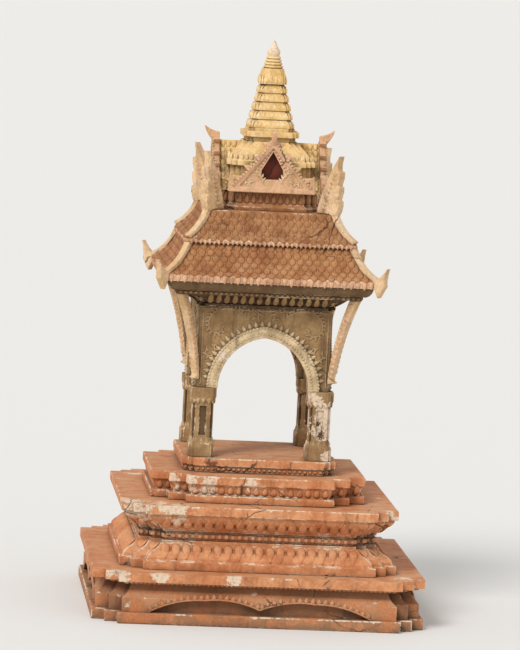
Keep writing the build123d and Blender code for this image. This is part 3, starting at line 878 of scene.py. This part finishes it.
def make_row_tree():
    graph = GeometryGraph("ornament_row", {
        "Step": "Float", "Share": "Float", "Height": "Float", "Depth": "Float", "Point": "Float",
        "Lean": "Float", "Stem": "Float", "Tone": "Float", "Deep": "Float", "Segments": "Int",
        "Rings": "Int", "Seed": "Int", "Paint": "Material",
    })
    given = graph.given
    lines = graph.node("GeometryNodeMeshToCurve", None, {"Mesh": given["Geometry"]})
    length = graph.node("GeometryNodeSplineLength")
    steps = graph.maths("MAXIMUM", graph.maths("ROUND", length / given["Step"]), 1.0)
    sockets = {"Curve": lines, "Count": steps + 1}
    divided = graph.node("GeometryNodeResampleCurve", {"mode": "COUNT"}, sockets)
    chain = graph.node("GeometryNodeCurveToMesh", None, {"Curve": divided})
    first = graph.node("GeometryNodeInputMeshEdgeVertices", out="Position 1")
    second = Wire(graph, first.socket.node.outputs["Position 2"])
    span = graph.node("ShaderNodeVectorMath", {"operation": "DISTANCE"}, {0: first, 1: second}, "Value")
    measured = graph.keep(chain, "span", span, "EDGE")
    spots = graph.node("GeometryNodeMeshToPoints", {"mode": "EDGES"}, {"Mesh": measured})

    turn = graph.node("FunctionNodeAlignRotationToVector", {"axis": "Z"}, {
        "Vector": graph.named("up", "FLOAT_VECTOR"),
    })
    turn = graph.node("FunctionNodeAlignRotationToVector", {"axis": "Y", "pivot_axis": "Z"}, {
        "Rotation": turn, "Vector": graph.named("out", "FLOAT_VECTOR"),
    })
    chance = graph.node("FunctionNodeRandomValue", {"data_type": "FLOAT"}, {
        "Min": SMALLEST, "Max": LARGEST, "Seed": given["Seed"],
    }, "Value")
    size = graph.vector(graph.named("span", "FLOAT"), given["Depth"] * chance, given["Height"] * chance)
    stamps = graph.node("GeometryNodeInstanceOnPoints", None, {
        "Points": spots, "Instance": make_stamp(graph), "Rotation": turn, "Scale": size,
    })

    sockets = {"Resolution": STEM_SIDES, "Radius": given["Stem"]}
    ring = graph.node("GeometryNodeCurvePrimitiveCircle", None, sockets)
    sockets = {"Curve": lines, "Profile Curve": ring, "Fill Caps": True}
    stem = graph.node("GeometryNodeCurveToMesh", None, sockets)
    stem = graph.keep(graph.keep(stem, "worn", 0.6), "tone", given["Tone"])
    wanted = graph.maths("GREATER_THAN", given["Stem"], 0.0)
    vine = graph.node("GeometryNodeSwitch", {"input_type": "GEOMETRY"}, {"Switch": wanted, "True": stem})
    return graph.finish(graph.join(stamps, vine), given["Paint"])


row_tree = make_row_tree()
print("row tree has", len(row_tree.nodes), "nodes")

# %% [markdown]
# One function sets a row: it writes the lines as a mesh of edges whose points carry up and out, gives the
# tree its sizes and keeps the result. PEARL and SMALL name the shapes that come back most, and forms that
# are set hundreds of times are made of fewer faces.

# %% Set a row
SMALL = {"segments": 8, "rings": 5}
PEARL = {"point": 0.0, **SMALL}


def set_row(name, slot, lines, step, height, depth, **shape):
    """Set ornaments along lines, as one plain mesh. A stem is a round cord along the lines."""
    spots = [spot for line in lines for spot in line]
    edges = []
    first = 0
    for line in lines:
        edges += [(first + k, first + k + 1) for k in range(len(line) - 1)]
        first += len(line)
    mesh = bpy.data.meshes.new(name + "_lines")
    mesh.from_pydata([spot[0] for spot in spots], edges, [])
    for label, column in (("up", 1), ("out", 2)):
        kept = mesh.attributes.new(label, "FLOAT_VECTOR", "POINT")
        kept.data.foreach_set("vector", [value for spot in spots for value in spot[column]])
    values = {
        "Step": step, "Height": height, "Depth": depth, "Share": 1.0, "Point": 0.5, "Lean": 0.0, "Stem": 0.0,
        "Tone": 0.0, "Deep": 0.0, "Segments": 10, "Rings": 6, "Seed": 1, "Paint": paints[slot],
    }
    values.update({key.title(): value for key, value in shape.items()})
    return grow(mesh, name, slot, row_tree, values)


print("a pearl has", PEARL["segments"] * PEARL["rings"], "faces")

# %% [markdown]
# A line is a list of spots, each a point with its up and its out. The house has four like sides, so most
# lines are drawn flat on one side, as points in x and z, and copied to the others.

# %% Turn and mirror lines
quarter_turns = [turn * math.pi / 2 for turn in range(4)]


def turned(vector, angle):
    """Turn a vector about the axis of the house."""
    x, y, z = vector
    return Vector((x * math.cos(angle) - y * math.sin(angle), x * math.sin(angle) + y * math.cos(angle), z))


def on_every_side(lines, reach):
    """Copy lines drawn flat, as (spot, up) in x and z, to the four sides at a distance from the axis."""
    placed = []
    for angle in quarter_turns:
        out = turned((0, -1, 0), angle)
        for line in lines:
            spots = [turned((spot[0], -reach, spot[1]), angle) for spot, up in line]
            ups = [turned((up[0], 0, up[1]), angle) for spot, up in line]
            placed.append([(spot, up, out) for spot, up in zip(spots, ups)])
    return placed


def mirrored(lines):
    """Add the mirror image of flat lines."""
    flip = Vector((-1, 1))
    return lines + [[(spot * flip, up * flip) for spot, up in line] for line in lines]


print("lines are copied to", len(quarter_turns), "sides")

# %% [markdown]
# The tiers of this house are squares, and the corners of most of them step in once or twice. One helper
# walks round such a tier, and its rake tips the ornaments over the moulding that carries them.


# %% Walk round a tier
def tier_lines(half, level, step=0.0, redents=0, rake=0.0, hang=False, trim=0.0, centre=(0, 0)):
    """Give the lines round a tier with stepped corners.

    The rake is how far the ornaments tip in over the tier, as an angle, hanging ones point down, and the
    trim shortens the long sides at both ends."""
    up = Vector((-math.sin(rake), 0, math.cos(rake)))
    out = Vector((math.cos(rake), 0, math.sin(rake)))
    if hang:
        up = -up
    reach = half - redents * step
    sides = [((half, -reach + trim), (half, reach - trim), 0)]
    for k in range(redents):
        row, low, high = half - k * step, half - (redents - k) * step, half - (redents - k - 1) * step
        sides.append(((row, low), (row - step, low), 1))
        sides.append(((row - step, low), (row - step, high), 0))
    lines = []
    for angle in quarter_turns:
        for start, end, facing in sides:
            lean = angle + facing * math.pi / 2
            spots = [turned((*spot, level), angle) + Vector((*centre, 0)) for spot in (start, end)]
            lines.append([(spot, turned(up, lean), turned(out, lean)) for spot in spots])
    return lines


print("a tier with two steps has", len(tier_lines(1, 0, step=0.1, redents=2)), "lines")

# %% [markdown]
# Three curves serve the rest. Roofs and bargeboards hang between two points like a slack cloth, arches are
# arcs, and the scrolls are logarithmic spirals, the curl of a fern, which tighten evenly towards the eye.


# %% Slopes, arcs and scrolls
LEAN_OUT, LEAN_ALONG = 0.62, 0.78
TIGHTNESS = 0.3


def hollow_slope(start, end, sag, count):
    """Give evenly set (spot, normal) pairs up a hollow slope, from its foot to its head."""
    chord = end - start
    inward = Vector((-chord.y, chord.x)).normalized()
    if inward.x > 0:
        inward = -inward
    pairs = []
    for k in range(count + 1):
        share = k / count
        slope = chord + inward * 4 * sag * (1 - 2 * share)
        normal = Vector((slope.y, -slope.x)).normalized()
        pairs.append((start + chord * share + inward * 4 * sag * share * (1 - share), normal))
    return pairs


def arc_line(centre, radius, start, end, count=16):
    """Give a flat line along an arc, with up away from its centre."""
    rays = [start + (end - start) * k / count for k in range(count + 1)]
    ups = [Vector((math.cos(ray), math.sin(ray))) for ray in rays]
    return [(centre + up * radius, up) for up in ups]


def scroll(centre, radius, start, turns, tightness=TIGHTNESS, count=40):
    """Give a flat line that curls in to a centre. Its up leans forward, so leaves lie along the curl."""
    line = []
    for k in range(count + 1):
        swing = abs(turns) * math.tau * k / count
        ray = start + math.copysign(swing, turns)
        away = Vector((math.cos(ray), math.sin(ray)))
        along = Vector((-away.y, away.x)) * math.copysign(1, turns)
        spot = centre + away * radius * math.exp(-tightness * swing)
        line.append((spot, (away * LEAN_OUT + along * LEAN_ALONG).normalized()))
    return line


print("one full turn of a scroll ends at", round(math.exp(-TIGHTNESS * math.tau), 2), "of its radius")

# %% [markdown]
# The base stands on lotus petals: the lower course hangs down and the upper one opens upwards, with the
# narrow waist between them. The petals lie on the slope of the moulding, so they are raked to it.

# %% Lotus petals of the base
lotus_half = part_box("lotus_foot")[1].x
foot_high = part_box("lotus_foot")[1].z
head_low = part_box("lotus_head")[0].z
plinth_step, lotus_step, terrace_step, floor_step = 22 * mm, 20 * mm, 30 * mm, 10 * mm
petal_half = lotus_half - 30 * mm
petal_inset = 5 * mm
petal_rake = math.radians(45)

lines = tier_lines(
    petal_half, foot_high - petal_inset, step=lotus_step, redents=2, rake=petal_rake, hang=True,
)
set_row(
    "lotus_petals_low", "base_paint", lines, step=19 * mm, height=32 * mm, depth=9 * mm,
    share=1.05, seed=3,
)
lines = tier_lines(petal_half, head_low + petal_inset, step=lotus_step, redents=2, rake=-petal_rake)
set_row(
    "lotus_petals_high", "base_paint", lines, step=19 * mm, height=32 * mm, depth=9 * mm,
    share=1.05, seed=4,
)

# %% [markdown]
# Pearls run along the lion legs, the waist and the floor, and upright leaves stand in the hollow of the
# terrace. Each row sits just outside the face that carries it, and how far in that is gets measured from
# the widest edge of the block.

# %% Pearls and leaves of the base
plinth_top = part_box("lion_leg_plinth")[1].z
terrace_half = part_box("terrace_slab")[1].x
terrace_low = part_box("terrace_slab")[0].z
floor_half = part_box("house_floor")[1].x
floor_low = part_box("house_floor")[0].z
terrace_rake = -0.24

lines = tier_lines(plinth_face - 11 * mm, plinth_top - 20.5 * mm, step=plinth_step, redents=2)
set_row(
    "plinth_pearls", "base_paint", lines, step=8 * mm, height=5.5 * mm, depth=5 * mm,
    share=0.85, **PEARL,
)
lines = tier_lines(lotus_half - 35 * mm, foot_high + 3.5 * mm, step=lotus_step, redents=2)
set_row(
    "waist_pearls", "base_paint", lines, step=12 * mm, height=9 * mm, depth=6 * mm,
    share=0.8, point=0.0, tone=0.3,
)
lines = tier_lines(
    terrace_half - 9 * mm, terrace_low + 14.5 * mm, step=terrace_step, redents=2, rake=terrace_rake,
)
set_row(
    "terrace_leaves", "base_paint", lines, step=15 * mm, height=17 * mm, depth=6 * mm,
    share=0.92, point=0.6, seed=5,
)
lines = tier_lines(floor_half - 4 * mm, floor_low + 3 * mm, step=floor_step, redents=2)
set_row("floor_pearls", "base_paint", lines, step=9 * mm, height=6 * mm, depth=5 * mm, share=0.8, **PEARL)

# %% [markdown]
# Each side of the plinth is cut out between two lion legs. The edge of the cut rises from the toe to a
# crown and falls to a drop in the middle, and a cord with small flames follows it.

# %% Flames of the lion legs
leg_face = plinth_face - 7.5 * mm
leg_sag = 7 * mm
leg_points = 14
toe, crown, drop = (Vector((x * mm, z * mm)) for x, z in ((196, 21), (98, 45), (0, 31)))
leg_curves = [hollow_slope(toe, crown, -leg_sag, leg_points), hollow_slope(crown, drop, leg_sag, leg_points)]
lines = on_every_side(mirrored(leg_curves), leg_face)
set_row(
    "lion_leg_flames", "base_paint", lines, step=11 * mm, height=9 * mm, depth=5 * mm,
    share=0.95, point=0.7, stem=1.8 * mm, tone=0.2,
)

# %% [markdown]
# Both skirt roofs are cast with rows of small rounded tiles. Each row is a line along the roof, and its
# place and rake come from how far up the hollow slope it lies. The tiles overlap the row below a little,
# so they are longer than the rows are apart. The upper roof's tiles get a little dark brown, a painted shade.

# %% Tiles of the skirt roofs
TILE = {"point": 0.18, **SMALL}
tile_overlap = 1.22
hip_gap = 0.3


def tiled_roof(node, run, sag, rows, width, seed, deep=0.0):
    low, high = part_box(node)
    start, end = Vector((high.x, low.z + eaves[node])), Vector((high.x - run, high.z))
    lines = []
    for spot, normal in hollow_slope(start, end, sag, rows)[1:]:
        rake = math.atan2(normal.y, normal.x)
        lines += tier_lines(spot.x, spot.y, rake=rake, hang=True, trim=width * hip_gap)
    length = (end - start).length / rows * tile_overlap
    set_row(
        node + "_tiles", "roof_paint", lines, step=width, height=length, depth=4.2 * mm,
        lean=0.22, seed=seed, deep=deep, **TILE,
    )


tiled_roof("lower_roof", run=43 * mm, sag=7 * mm, rows=6, width=15 * mm, seed=5)
# The upper roof's tiles get a little dark brown, a painted shade:
tiled_roof("upper_roof", run=38 * mm, sag=6 * mm, rows=5, width=14 * mm, seed=6, deep=0.22)

# %% [markdown]
# The four gable arms are tiled as well. Their rows run outwards along the arm, on both of its slopes, from
# the core of the crown to just inside the gable board.

# %% Tiles of the gable arms
arm_low, arm_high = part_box("gable_roof")
gable_half = 64 * mm
gable_edge = 6 * mm
gable_ridge = 86 * mm
gable_sag = 6 * mm
arm_rows = 8
arm_start = 48 * mm
arm_eave = Vector((gable_half, arm_low.z + gable_edge))
arm_ridge = Vector((0.0, arm_low.z + gable_ridge))
lines = []
for angle in quarter_turns:
    for hand in (1, -1):
        for spot, normal in hollow_slope(arm_eave, arm_ridge, gable_sag, arm_rows)[1:]:
            ends = [(hand * spot.x, -reach, spot.y) for reach in (arm_high.x - near, arm_start)]
            up = turned((hand * normal.y, 0, -normal.x), angle)
            out = turned((hand * normal.x, 0, normal.y), angle)
            lines.append([(turned(end, angle), up, out) for end in ends])
set_row(
    "gable_tiles", "gold_paint", lines, step=10 * mm, height=15 * mm, depth=3.4 * mm,
    lean=0.2, seed=8, **TILE,
)

# %% [markdown]
# Pale drop leaves finish both eaves. Small pearls hang under the cornice, and leaves fill the dark hollow
# of the frieze below it, leaning out with the hollow.

# %% Eaves, cornice and frieze
drop_length = 1.1
for node, size in (("lower_roof", 12 * mm), ("upper_roof", 8 * mm)):
    low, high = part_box(node)
    lines = tier_lines(high.x, low.z + eaves[node], hang=True, trim=6 * mm)
    set_row(
        node + "_drops", "roof_paint", lines, step=size, height=size * drop_length, depth=5 * mm,
        share=0.95, point=0.55, tone=1.0, seed=7,
    )

cornice_low, cornice_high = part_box("cornice")
cornice_foot = cornice_high.x - 18 * mm
lines = tier_lines(cornice_foot + 0.5 * mm, cornice_low.z + 1 * mm, trim=3 * mm)
set_row(
    "cornice_pearls", "body_paint", lines, step=9 * mm, height=5.5 * mm, depth=4 * mm,
    share=0.8, **PEARL,
)

frieze_low, frieze_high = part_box("coved_frieze")
frieze_foot = 120 * mm
frieze_bead = 5 * mm
frieze_fill = 0.92
cove = Vector((frieze_high.x - frieze_foot, frieze_high.z - frieze_low.z - frieze_bead))
frieze_rake = -math.atan2(cove.x, cove.y) * frieze_fill
lines = tier_lines(
    frieze_foot + 3 * mm, frieze_low.z + frieze_bead + 1 * mm, step=14 * mm, redents=1, rake=frieze_rake,
)
set_row(
    "frieze_leaves", "body_paint", lines, step=15 * mm, height=cove.length * frieze_fill, depth=5 * mm,
    share=0.9, point=0.7, seed=8,
)

# %% [markdown]
# A fringe of small flames stands round each pointed arch, with pearls along the archivolt. Both follow the
# two arcs of the arch, whose centres lie past the middle line, which is what makes the arch pointed. An arc
# ends where it meets the middle line.

# %% Flames and pearls of the arches
spring_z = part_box("arch_front")[0].z
arch_half = 81 * mm
arch_centre_past = 12.6 * mm
archivolt_width = 20 * mm
archivolt_reach = 124 * mm
inner_radius = arch_half + arch_centre_past
outer_radius = inner_radius + archivolt_width
arch_centre = Vector((-arch_centre_past, spring_z))
flame_start, pearl_start = 0.12, 0.03


def arch_arc(radius, start, inset=0.0):
    """Give half of a line round the arch, from near the springing to the point."""
    return arc_line(arch_centre, radius - inset, start, math.acos(arch_centre_past / radius))


flames = arch_arc(outer_radius, flame_start, inset=2 * mm)
lines = on_every_side(mirrored([flames]), panel_outer + 0.5 * mm)
set_row(
    "arch_flames", "body_paint", lines, step=11 * mm, height=13 * mm, depth=7 * mm,
    share=0.95, point=0.75, tone=0.7, seed=9,
)
inner_pearls = arch_arc(inner_radius + 4.5 * mm, pearl_start)
outer_pearls = arch_arc(outer_radius, pearl_start, inset=4 * mm)
lines = on_every_side(mirrored([inner_pearls, outer_pearls]), archivolt_reach)
set_row(
    "arch_pearls", "body_paint", lines, step=6 * mm, height=5 * mm, depth=4 * mm,
    share=0.8, tone=1.0, **PEARL,
)

# %% [markdown]
# The flat corners above the arch are filled with flaming scrolls inside a thin cord frame. Each scroll's
# centre and radius are chosen so that it stays between the fringe and the frame.

# %% Scrolls and frames of the arch panels
panel_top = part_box("arch_front")[1].z
curls = [
    scroll(Vector((83 * mm, panel_top - 38 * mm)), 52 * mm, start=2.72, turns=-1.0, tightness=0.4),
    scroll(Vector((20 * mm, panel_top - 15 * mm)), 14 * mm, start=0.3, turns=0.85),
    scroll(Vector((100 * mm, panel_top - 82 * mm)), 15 * mm, start=1.9, turns=0.9, tightness=0.25),
]
lines = on_every_side(mirrored(curls), panel_outer + 0.3 * mm)
set_row(
    "arch_scrolls", "body_paint", lines, step=6.5 * mm, height=10 * mm, depth=4 * mm,
    share=1.05, point=0.8, stem=2.0 * mm, tone=0.2, **SMALL,
)
side, foot, head = 112 * mm, spring_z + 6 * mm, panel_top - 5 * mm
frame_line = [(Vector((x, z)), Vector((0, 1))) for x, z in ((side, foot), (side, head), (0, head))]
lines = on_every_side(mirrored([frame_line]), panel_outer)
set_row(
    "arch_frames", "body_paint", lines, step=13 * mm, height=4 * mm, depth=4 * mm,
    share=0.4, point=0.0, stem=1.8 * mm, tone=0.35, segments=6, rings=4,
)

# %% [markdown]
# Small lotus petals mark the foot and the head of every post, as on a turned column.

# %% Petals on the posts
petal_ring = 19.5 * mm
for kind, lift, hang, seed in (("foot", 24 * mm, False, 11), ("head", 108 * mm, True, 12)):
    lines = []
    for node in posts:
        low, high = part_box(node)
        middle = ((low + high) / 2).xy
        level = low.z + lift
        lines += tier_lines(petal_ring, level, step=5 * mm, redents=1, rake=0.1, hang=hang, centre=middle)
    set_row(
        "post_petals_" + kind, "body_paint", lines, step=9 * mm, height=12 * mm, depth=5 * mm,
        point=0.6, tone=0.35, seed=seed,
    )

# %% [markdown]
# The gable boards are the showpiece of the roof: pearls along the rim, a cord and flames round the dark
# niche, and two scrolls at its foot.

# %% Gable boards
board_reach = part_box("gable_roof")[1].x + 12 * mm
carving_reach = board_reach - 4 * mm
board_z = arm_low.z
rim_foot, rim_head = Vector((70 * mm, board_z + 9 * mm)), Vector((0.0, board_z + 92 * mm))
rim = hollow_slope(rim_foot, rim_head, sag=4 * mm, count=16)
lines = on_every_side(mirrored([rim]), board_reach)
set_row(
    "rim_pearls", "ornament_paint", lines, step=6.5 * mm, height=5.5 * mm, depth=4 * mm,
    share=0.85, point=0.0, stem=1.2 * mm, tone=0.5,
)
niche = [Vector((x * mm, board_z + z * mm)) for x, z in ((21, 25), (21, 40), (0, 76))]
niche_up = Vector((0.87, 0.5))
lines = on_every_side(mirrored([[(spot, niche_up) for spot in niche]]), carving_reach)
set_row(
    "niche_flames", "ornament_paint", lines, step=6 * mm, height=8 * mm, depth=4 * mm,
    share=0.95, point=0.75, stem=1.5 * mm, tone=0.6,
)
curls = [
    scroll(Vector((40 * mm, board_z + 22 * mm)), 24 * mm, start=3.3, turns=-1.0),
    scroll(Vector((30 * mm, board_z + 46 * mm)), 9 * mm, start=-1.2, turns=0.9),
]
lines = on_every_side(mirrored(curls), carving_reach)
set_row(
    "gable_scrolls", "ornament_paint", lines, step=6 * mm, height=8 * mm, depth=3.5 * mm,
    point=0.8, stem=1.6 * mm, **SMALL,
)

# %% [markdown]
# The drum below the gables has a row of petals, and the ledge above them has leaves, which soften the two
# square steps of the crown.

# %% Drum and ledge
drum_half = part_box("gable_drum")[1].x - 5 * mm
drum_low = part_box("gable_drum")[0].z
core_half = 72 * mm
core_ledge = 7 * mm
lines = tier_lines(drum_half + 0.5 * mm, drum_low + 12 * mm, step=12 * mm, redents=2)
set_row(
    "drum_petals", "roof_paint", lines, step=12 * mm, height=17 * mm, depth=5 * mm,
    share=0.92, point=0.6, tone=0.2, seed=6,
)
lines = tier_lines(core_half + core_ledge - 3 * mm, board_z + 54 * mm, step=9 * mm, redents=2, rake=0.2)
set_row(
    "core_leaves", "gold_paint", lines, step=9 * mm, height=13 * mm, depth=5 * mm,
    share=0.9, point=0.75, tone=0.4, seed=14,
)

# %% [markdown]
# The tall antefixes and the slanted brackets stand on the diagonals. Both of their faces carry a stem with
# leaning leaves, which gives the brackets the wavy outline that they show against the light. The curve is
# how far the stem is from the axis at its foot, its slope and its bend.

# %% Vines on the diagonal ornaments
VINE_POINTS = 16


def diagonal_vines(name, lean, start, end, leaf, foot_z, face, curve, step):
    """Set a stem with leaves up both faces of four diagonal ornaments."""
    lines = []
    for angle in quarter_turns:
        heading = angle + math.pi / 4
        for hand in (1, -1):
            line = []
            for k in range(VINE_POINTS + 1):
                rise = start + (end - start) * k / VINE_POINTS
                reach = curve[0] + curve[1] * rise + curve[2] * rise ** 2
                spot = (reach, hand * face, foot_z + rise)
                line.append((turned(spot, heading), turned(lean, heading), turned((0, hand, 0), heading)))
            lines.append(line)
    set_row(
        name, "ornament_paint", lines, step=step, height=leaf, depth=4 * mm,
        point=0.75, stem=1.5 * mm, tone=0.4,
    )


antefix = {
    "foot_z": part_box("upper_roof")[1].z, "face": 7.4 * mm, "curve": (0.139, 0.25, 1.0), "step": 8 * mm,
}
bracket = {
    "foot_z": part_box("eave_brackets")[0].z + 8 * mm, "face": 6.4 * mm, "curve": (0.1715, 0.156, 1.1),
    "step": 9 * mm,
}
outward, inward = (0.75, 0, 0.66), (-0.6, 0, 0.8)
diagonal_vines("antefix_outer", outward, start=4 * mm, end=74 * mm, leaf=9 * mm, **antefix)
diagonal_vines("antefix_inner", inward, start=4 * mm, end=60 * mm, leaf=7 * mm, **antefix)
diagonal_vines("bracket_outer", outward, start=8 * mm, end=140 * mm, leaf=9 * mm, **bracket)
diagonal_vines("bracket_inner", inward, start=30 * mm, end=140 * mm, leaf=6 * mm, **bracket)

# %% [markdown]
# Each tier of the spire carries a row of little upright leaves, which shrink with the tier, and petals
# close round the bell above them.

# %% Leaves on the spire
tiers_low, tiers_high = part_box("spire_tiers")
tier_count = 5
tier_rise = (tiers_high.z - tiers_low.z) / tier_count
tier_shrink = 3.6 * mm
tier_rake = 0.45
lines = []
for k in range(tier_count):
    half = tiers_high.x - k * tier_shrink - 0.5 * mm
    lines += tier_lines(
        half, tiers_low.z + k * tier_rise + 3 * mm, step=4.5 * mm, redents=2, rake=tier_rake,
    )
set_row(
    "spire_leaves", "gold_paint", lines, step=8 * mm, height=10 * mm, depth=4.5 * mm,
    share=0.95, point=0.7, tone=0.4, seed=13,
)
bell_low, bell_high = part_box("spire_bell")
lines = tier_lines(bell_high.x - 0.5 * mm, bell_low.z + 1 * mm, step=4 * mm, redents=2, rake=0.12)
set_row(
    "bell_petals", "gold_paint", lines, step=8 * mm, height=14 * mm, depth=4 * mm,
    point=0.6, tone=0.3, seed=15,
)

# %% [markdown]
# The tip was thrown on a wheel, so it is round. A second Geometry Nodes tree turns it: its input is a plain
# upright line whose points carry their girth, and a circle swept up the line at that size is the turned
# piece. A lathe made of mesh code would do as well, but here the profile stays a short list.


# %% The tree that turns a profile
def make_turned_tree():
    graph = GeometryGraph("turned_piece", {"Sides": "Int", "Paint": "Material"})
    given = graph.given
    axis = graph.node("GeometryNodeMeshToCurve", None, {"Mesh": given["Geometry"]})
    ring = graph.node("GeometryNodeCurvePrimitiveCircle", None, {"Resolution": given["Sides"], "Radius": 1.0})
    swept = {"Curve": axis, "Profile Curve": ring, "Scale": graph.named("girth", "FLOAT"), "Fill Caps": True}
    turned_piece = graph.node("GeometryNodeCurveToMesh", None, swept)
    return graph.finish(graph.keep(turned_piece, "worn", 0.35), given["Paint"])


turned_tree = make_turned_tree()
print("turning tree has", len(turned_tree.nodes), "nodes")

# %% [markdown]
# The profile has four rings, each a half round between two grooves and a little narrower than the one
# below, and above them a lotus bud. The bud's heights and radii follow its bellied outline up to the point.

# %% The turned tip
tip_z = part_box("spire_finial")[0].z
ring_count = 4
ring_height = 5.5 * mm
ring_radius = 18 * mm
ring_taper = 1.5 * mm
groove_depth = 2.6 * mm
ring_half = 0.42
ring_points = 5
tip_sides = 40
bud = (
    (0.0, 9.6), (2.5, 11.0), (6.0, 12.0), (9.5, 11.2), (13.0, 9.0), (16.5, 6.8), (20.0, 5.2), (24.0, 3.4),
    (27.4, 1.7), (28.0, 0.9),
)
profile = []
for k in range(ring_count):
    for point in range(ring_points + 1):
        angle = math.pi * point / ring_points
        level = tip_z + (k + 0.5 - ring_half * math.cos(angle)) * ring_height
        profile.append((level, ring_radius - k * ring_taper - groove_depth * (1 - math.sin(angle))))
bud_z = tip_z + ring_count * ring_height
profile += [(bud_z + rise * mm, radius * mm) for rise, radius in bud]
mesh = bpy.data.meshes.new("tip_axis")
edges = [(k, k + 1) for k in range(len(profile) - 1)]
mesh.from_pydata([(0, 0, level) for level, radius in profile], edges, [])
store(mesh, "girth", [radius for level, radius in profile])
values = {"Sides": tip_sides, "Paint": paints["gold_paint"]}
tip = grow(mesh, "turned_tip", "gold_paint", turned_tree, values)
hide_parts("spire_finial")

# %% [markdown]
# The stage is a pale floor in a plain matt finish, wide enough that the camera doesn't see its edge.

# %% Floor
stage_half = 45
floor_mesh = bpy.data.meshes.new("floor")
corners = [(x * stage_half, y * stage_half, 0) for x, y in ((-1, -1), (1, -1), (1, 1), (-1, 1))]
floor_mesh.from_pydata(corners, [], [(0, 1, 2, 3)])
floor = bpy.data.objects.new("floor", floor_mesh)
bpy.context.scene.collection.objects.link(floor)
floor_paint = bpy.data.materials.new("pale_floor")
floor_paint.use_nodes = True
graph = Graph(floor_paint.node_tree)
shader = graph.node("ShaderNodeBsdfPrincipled", None, {"Base Color": srgb(228, 226, 222), "Roughness": 0.9})
graph.node("ShaderNodeOutputMaterial", None, {"Surface": shader})
floor_mesh.materials.append(floor_paint)
floor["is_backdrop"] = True
print("floor is", 2 * stage_half, "m wide")

# %% [markdown]
# The sky lights everything softly, and one broad sun gives the mouldings a shaded side. Together they are
# plain enough that a colour renders about as it is written. The camera, and any gloss, sees white where
# there is no floor, which adds no light.

# %% Light
sky_level = 0.64
sun_level = 2.0
sun_width = math.radians(22)
sun_direction = Vector((0.55, 0.75, -0.85))

world = bpy.data.worlds.new("sky")
bpy.context.scene.world = world
world.use_nodes = True
graph = Graph(world.node_tree)
seen = graph.node("ShaderNodeLightPath", out="Is Camera Ray")
glossy = graph.node("ShaderNodeLightPath", out="Is Glossy Ray")
level = sky_level + graph.maths("MAXIMUM", seen, glossy) * (1 - sky_level)
sky = graph.node("ShaderNodeBackground", None, {"Color": (1, 1, 1, 1), "Strength": level})
graph.node("ShaderNodeOutputWorld", None, {"Surface": sky})

sun = bpy.data.objects.new("sun", bpy.data.lights.new("sun", "SUN"))
bpy.context.scene.collection.objects.link(sun)
sun.data.energy = sun_level
sun.data.angle = sun_width
sun.rotation_euler = sun_direction.to_track_quat("-Z", "Y").to_euler()
bpy.context.scene.view_settings.view_transform = "Standard"
print("sky at", sky_level, "and sun at", sun_level)

# %% [markdown]
# Last, the size of the dressed house is measured.

# %% Sizes
low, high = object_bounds()
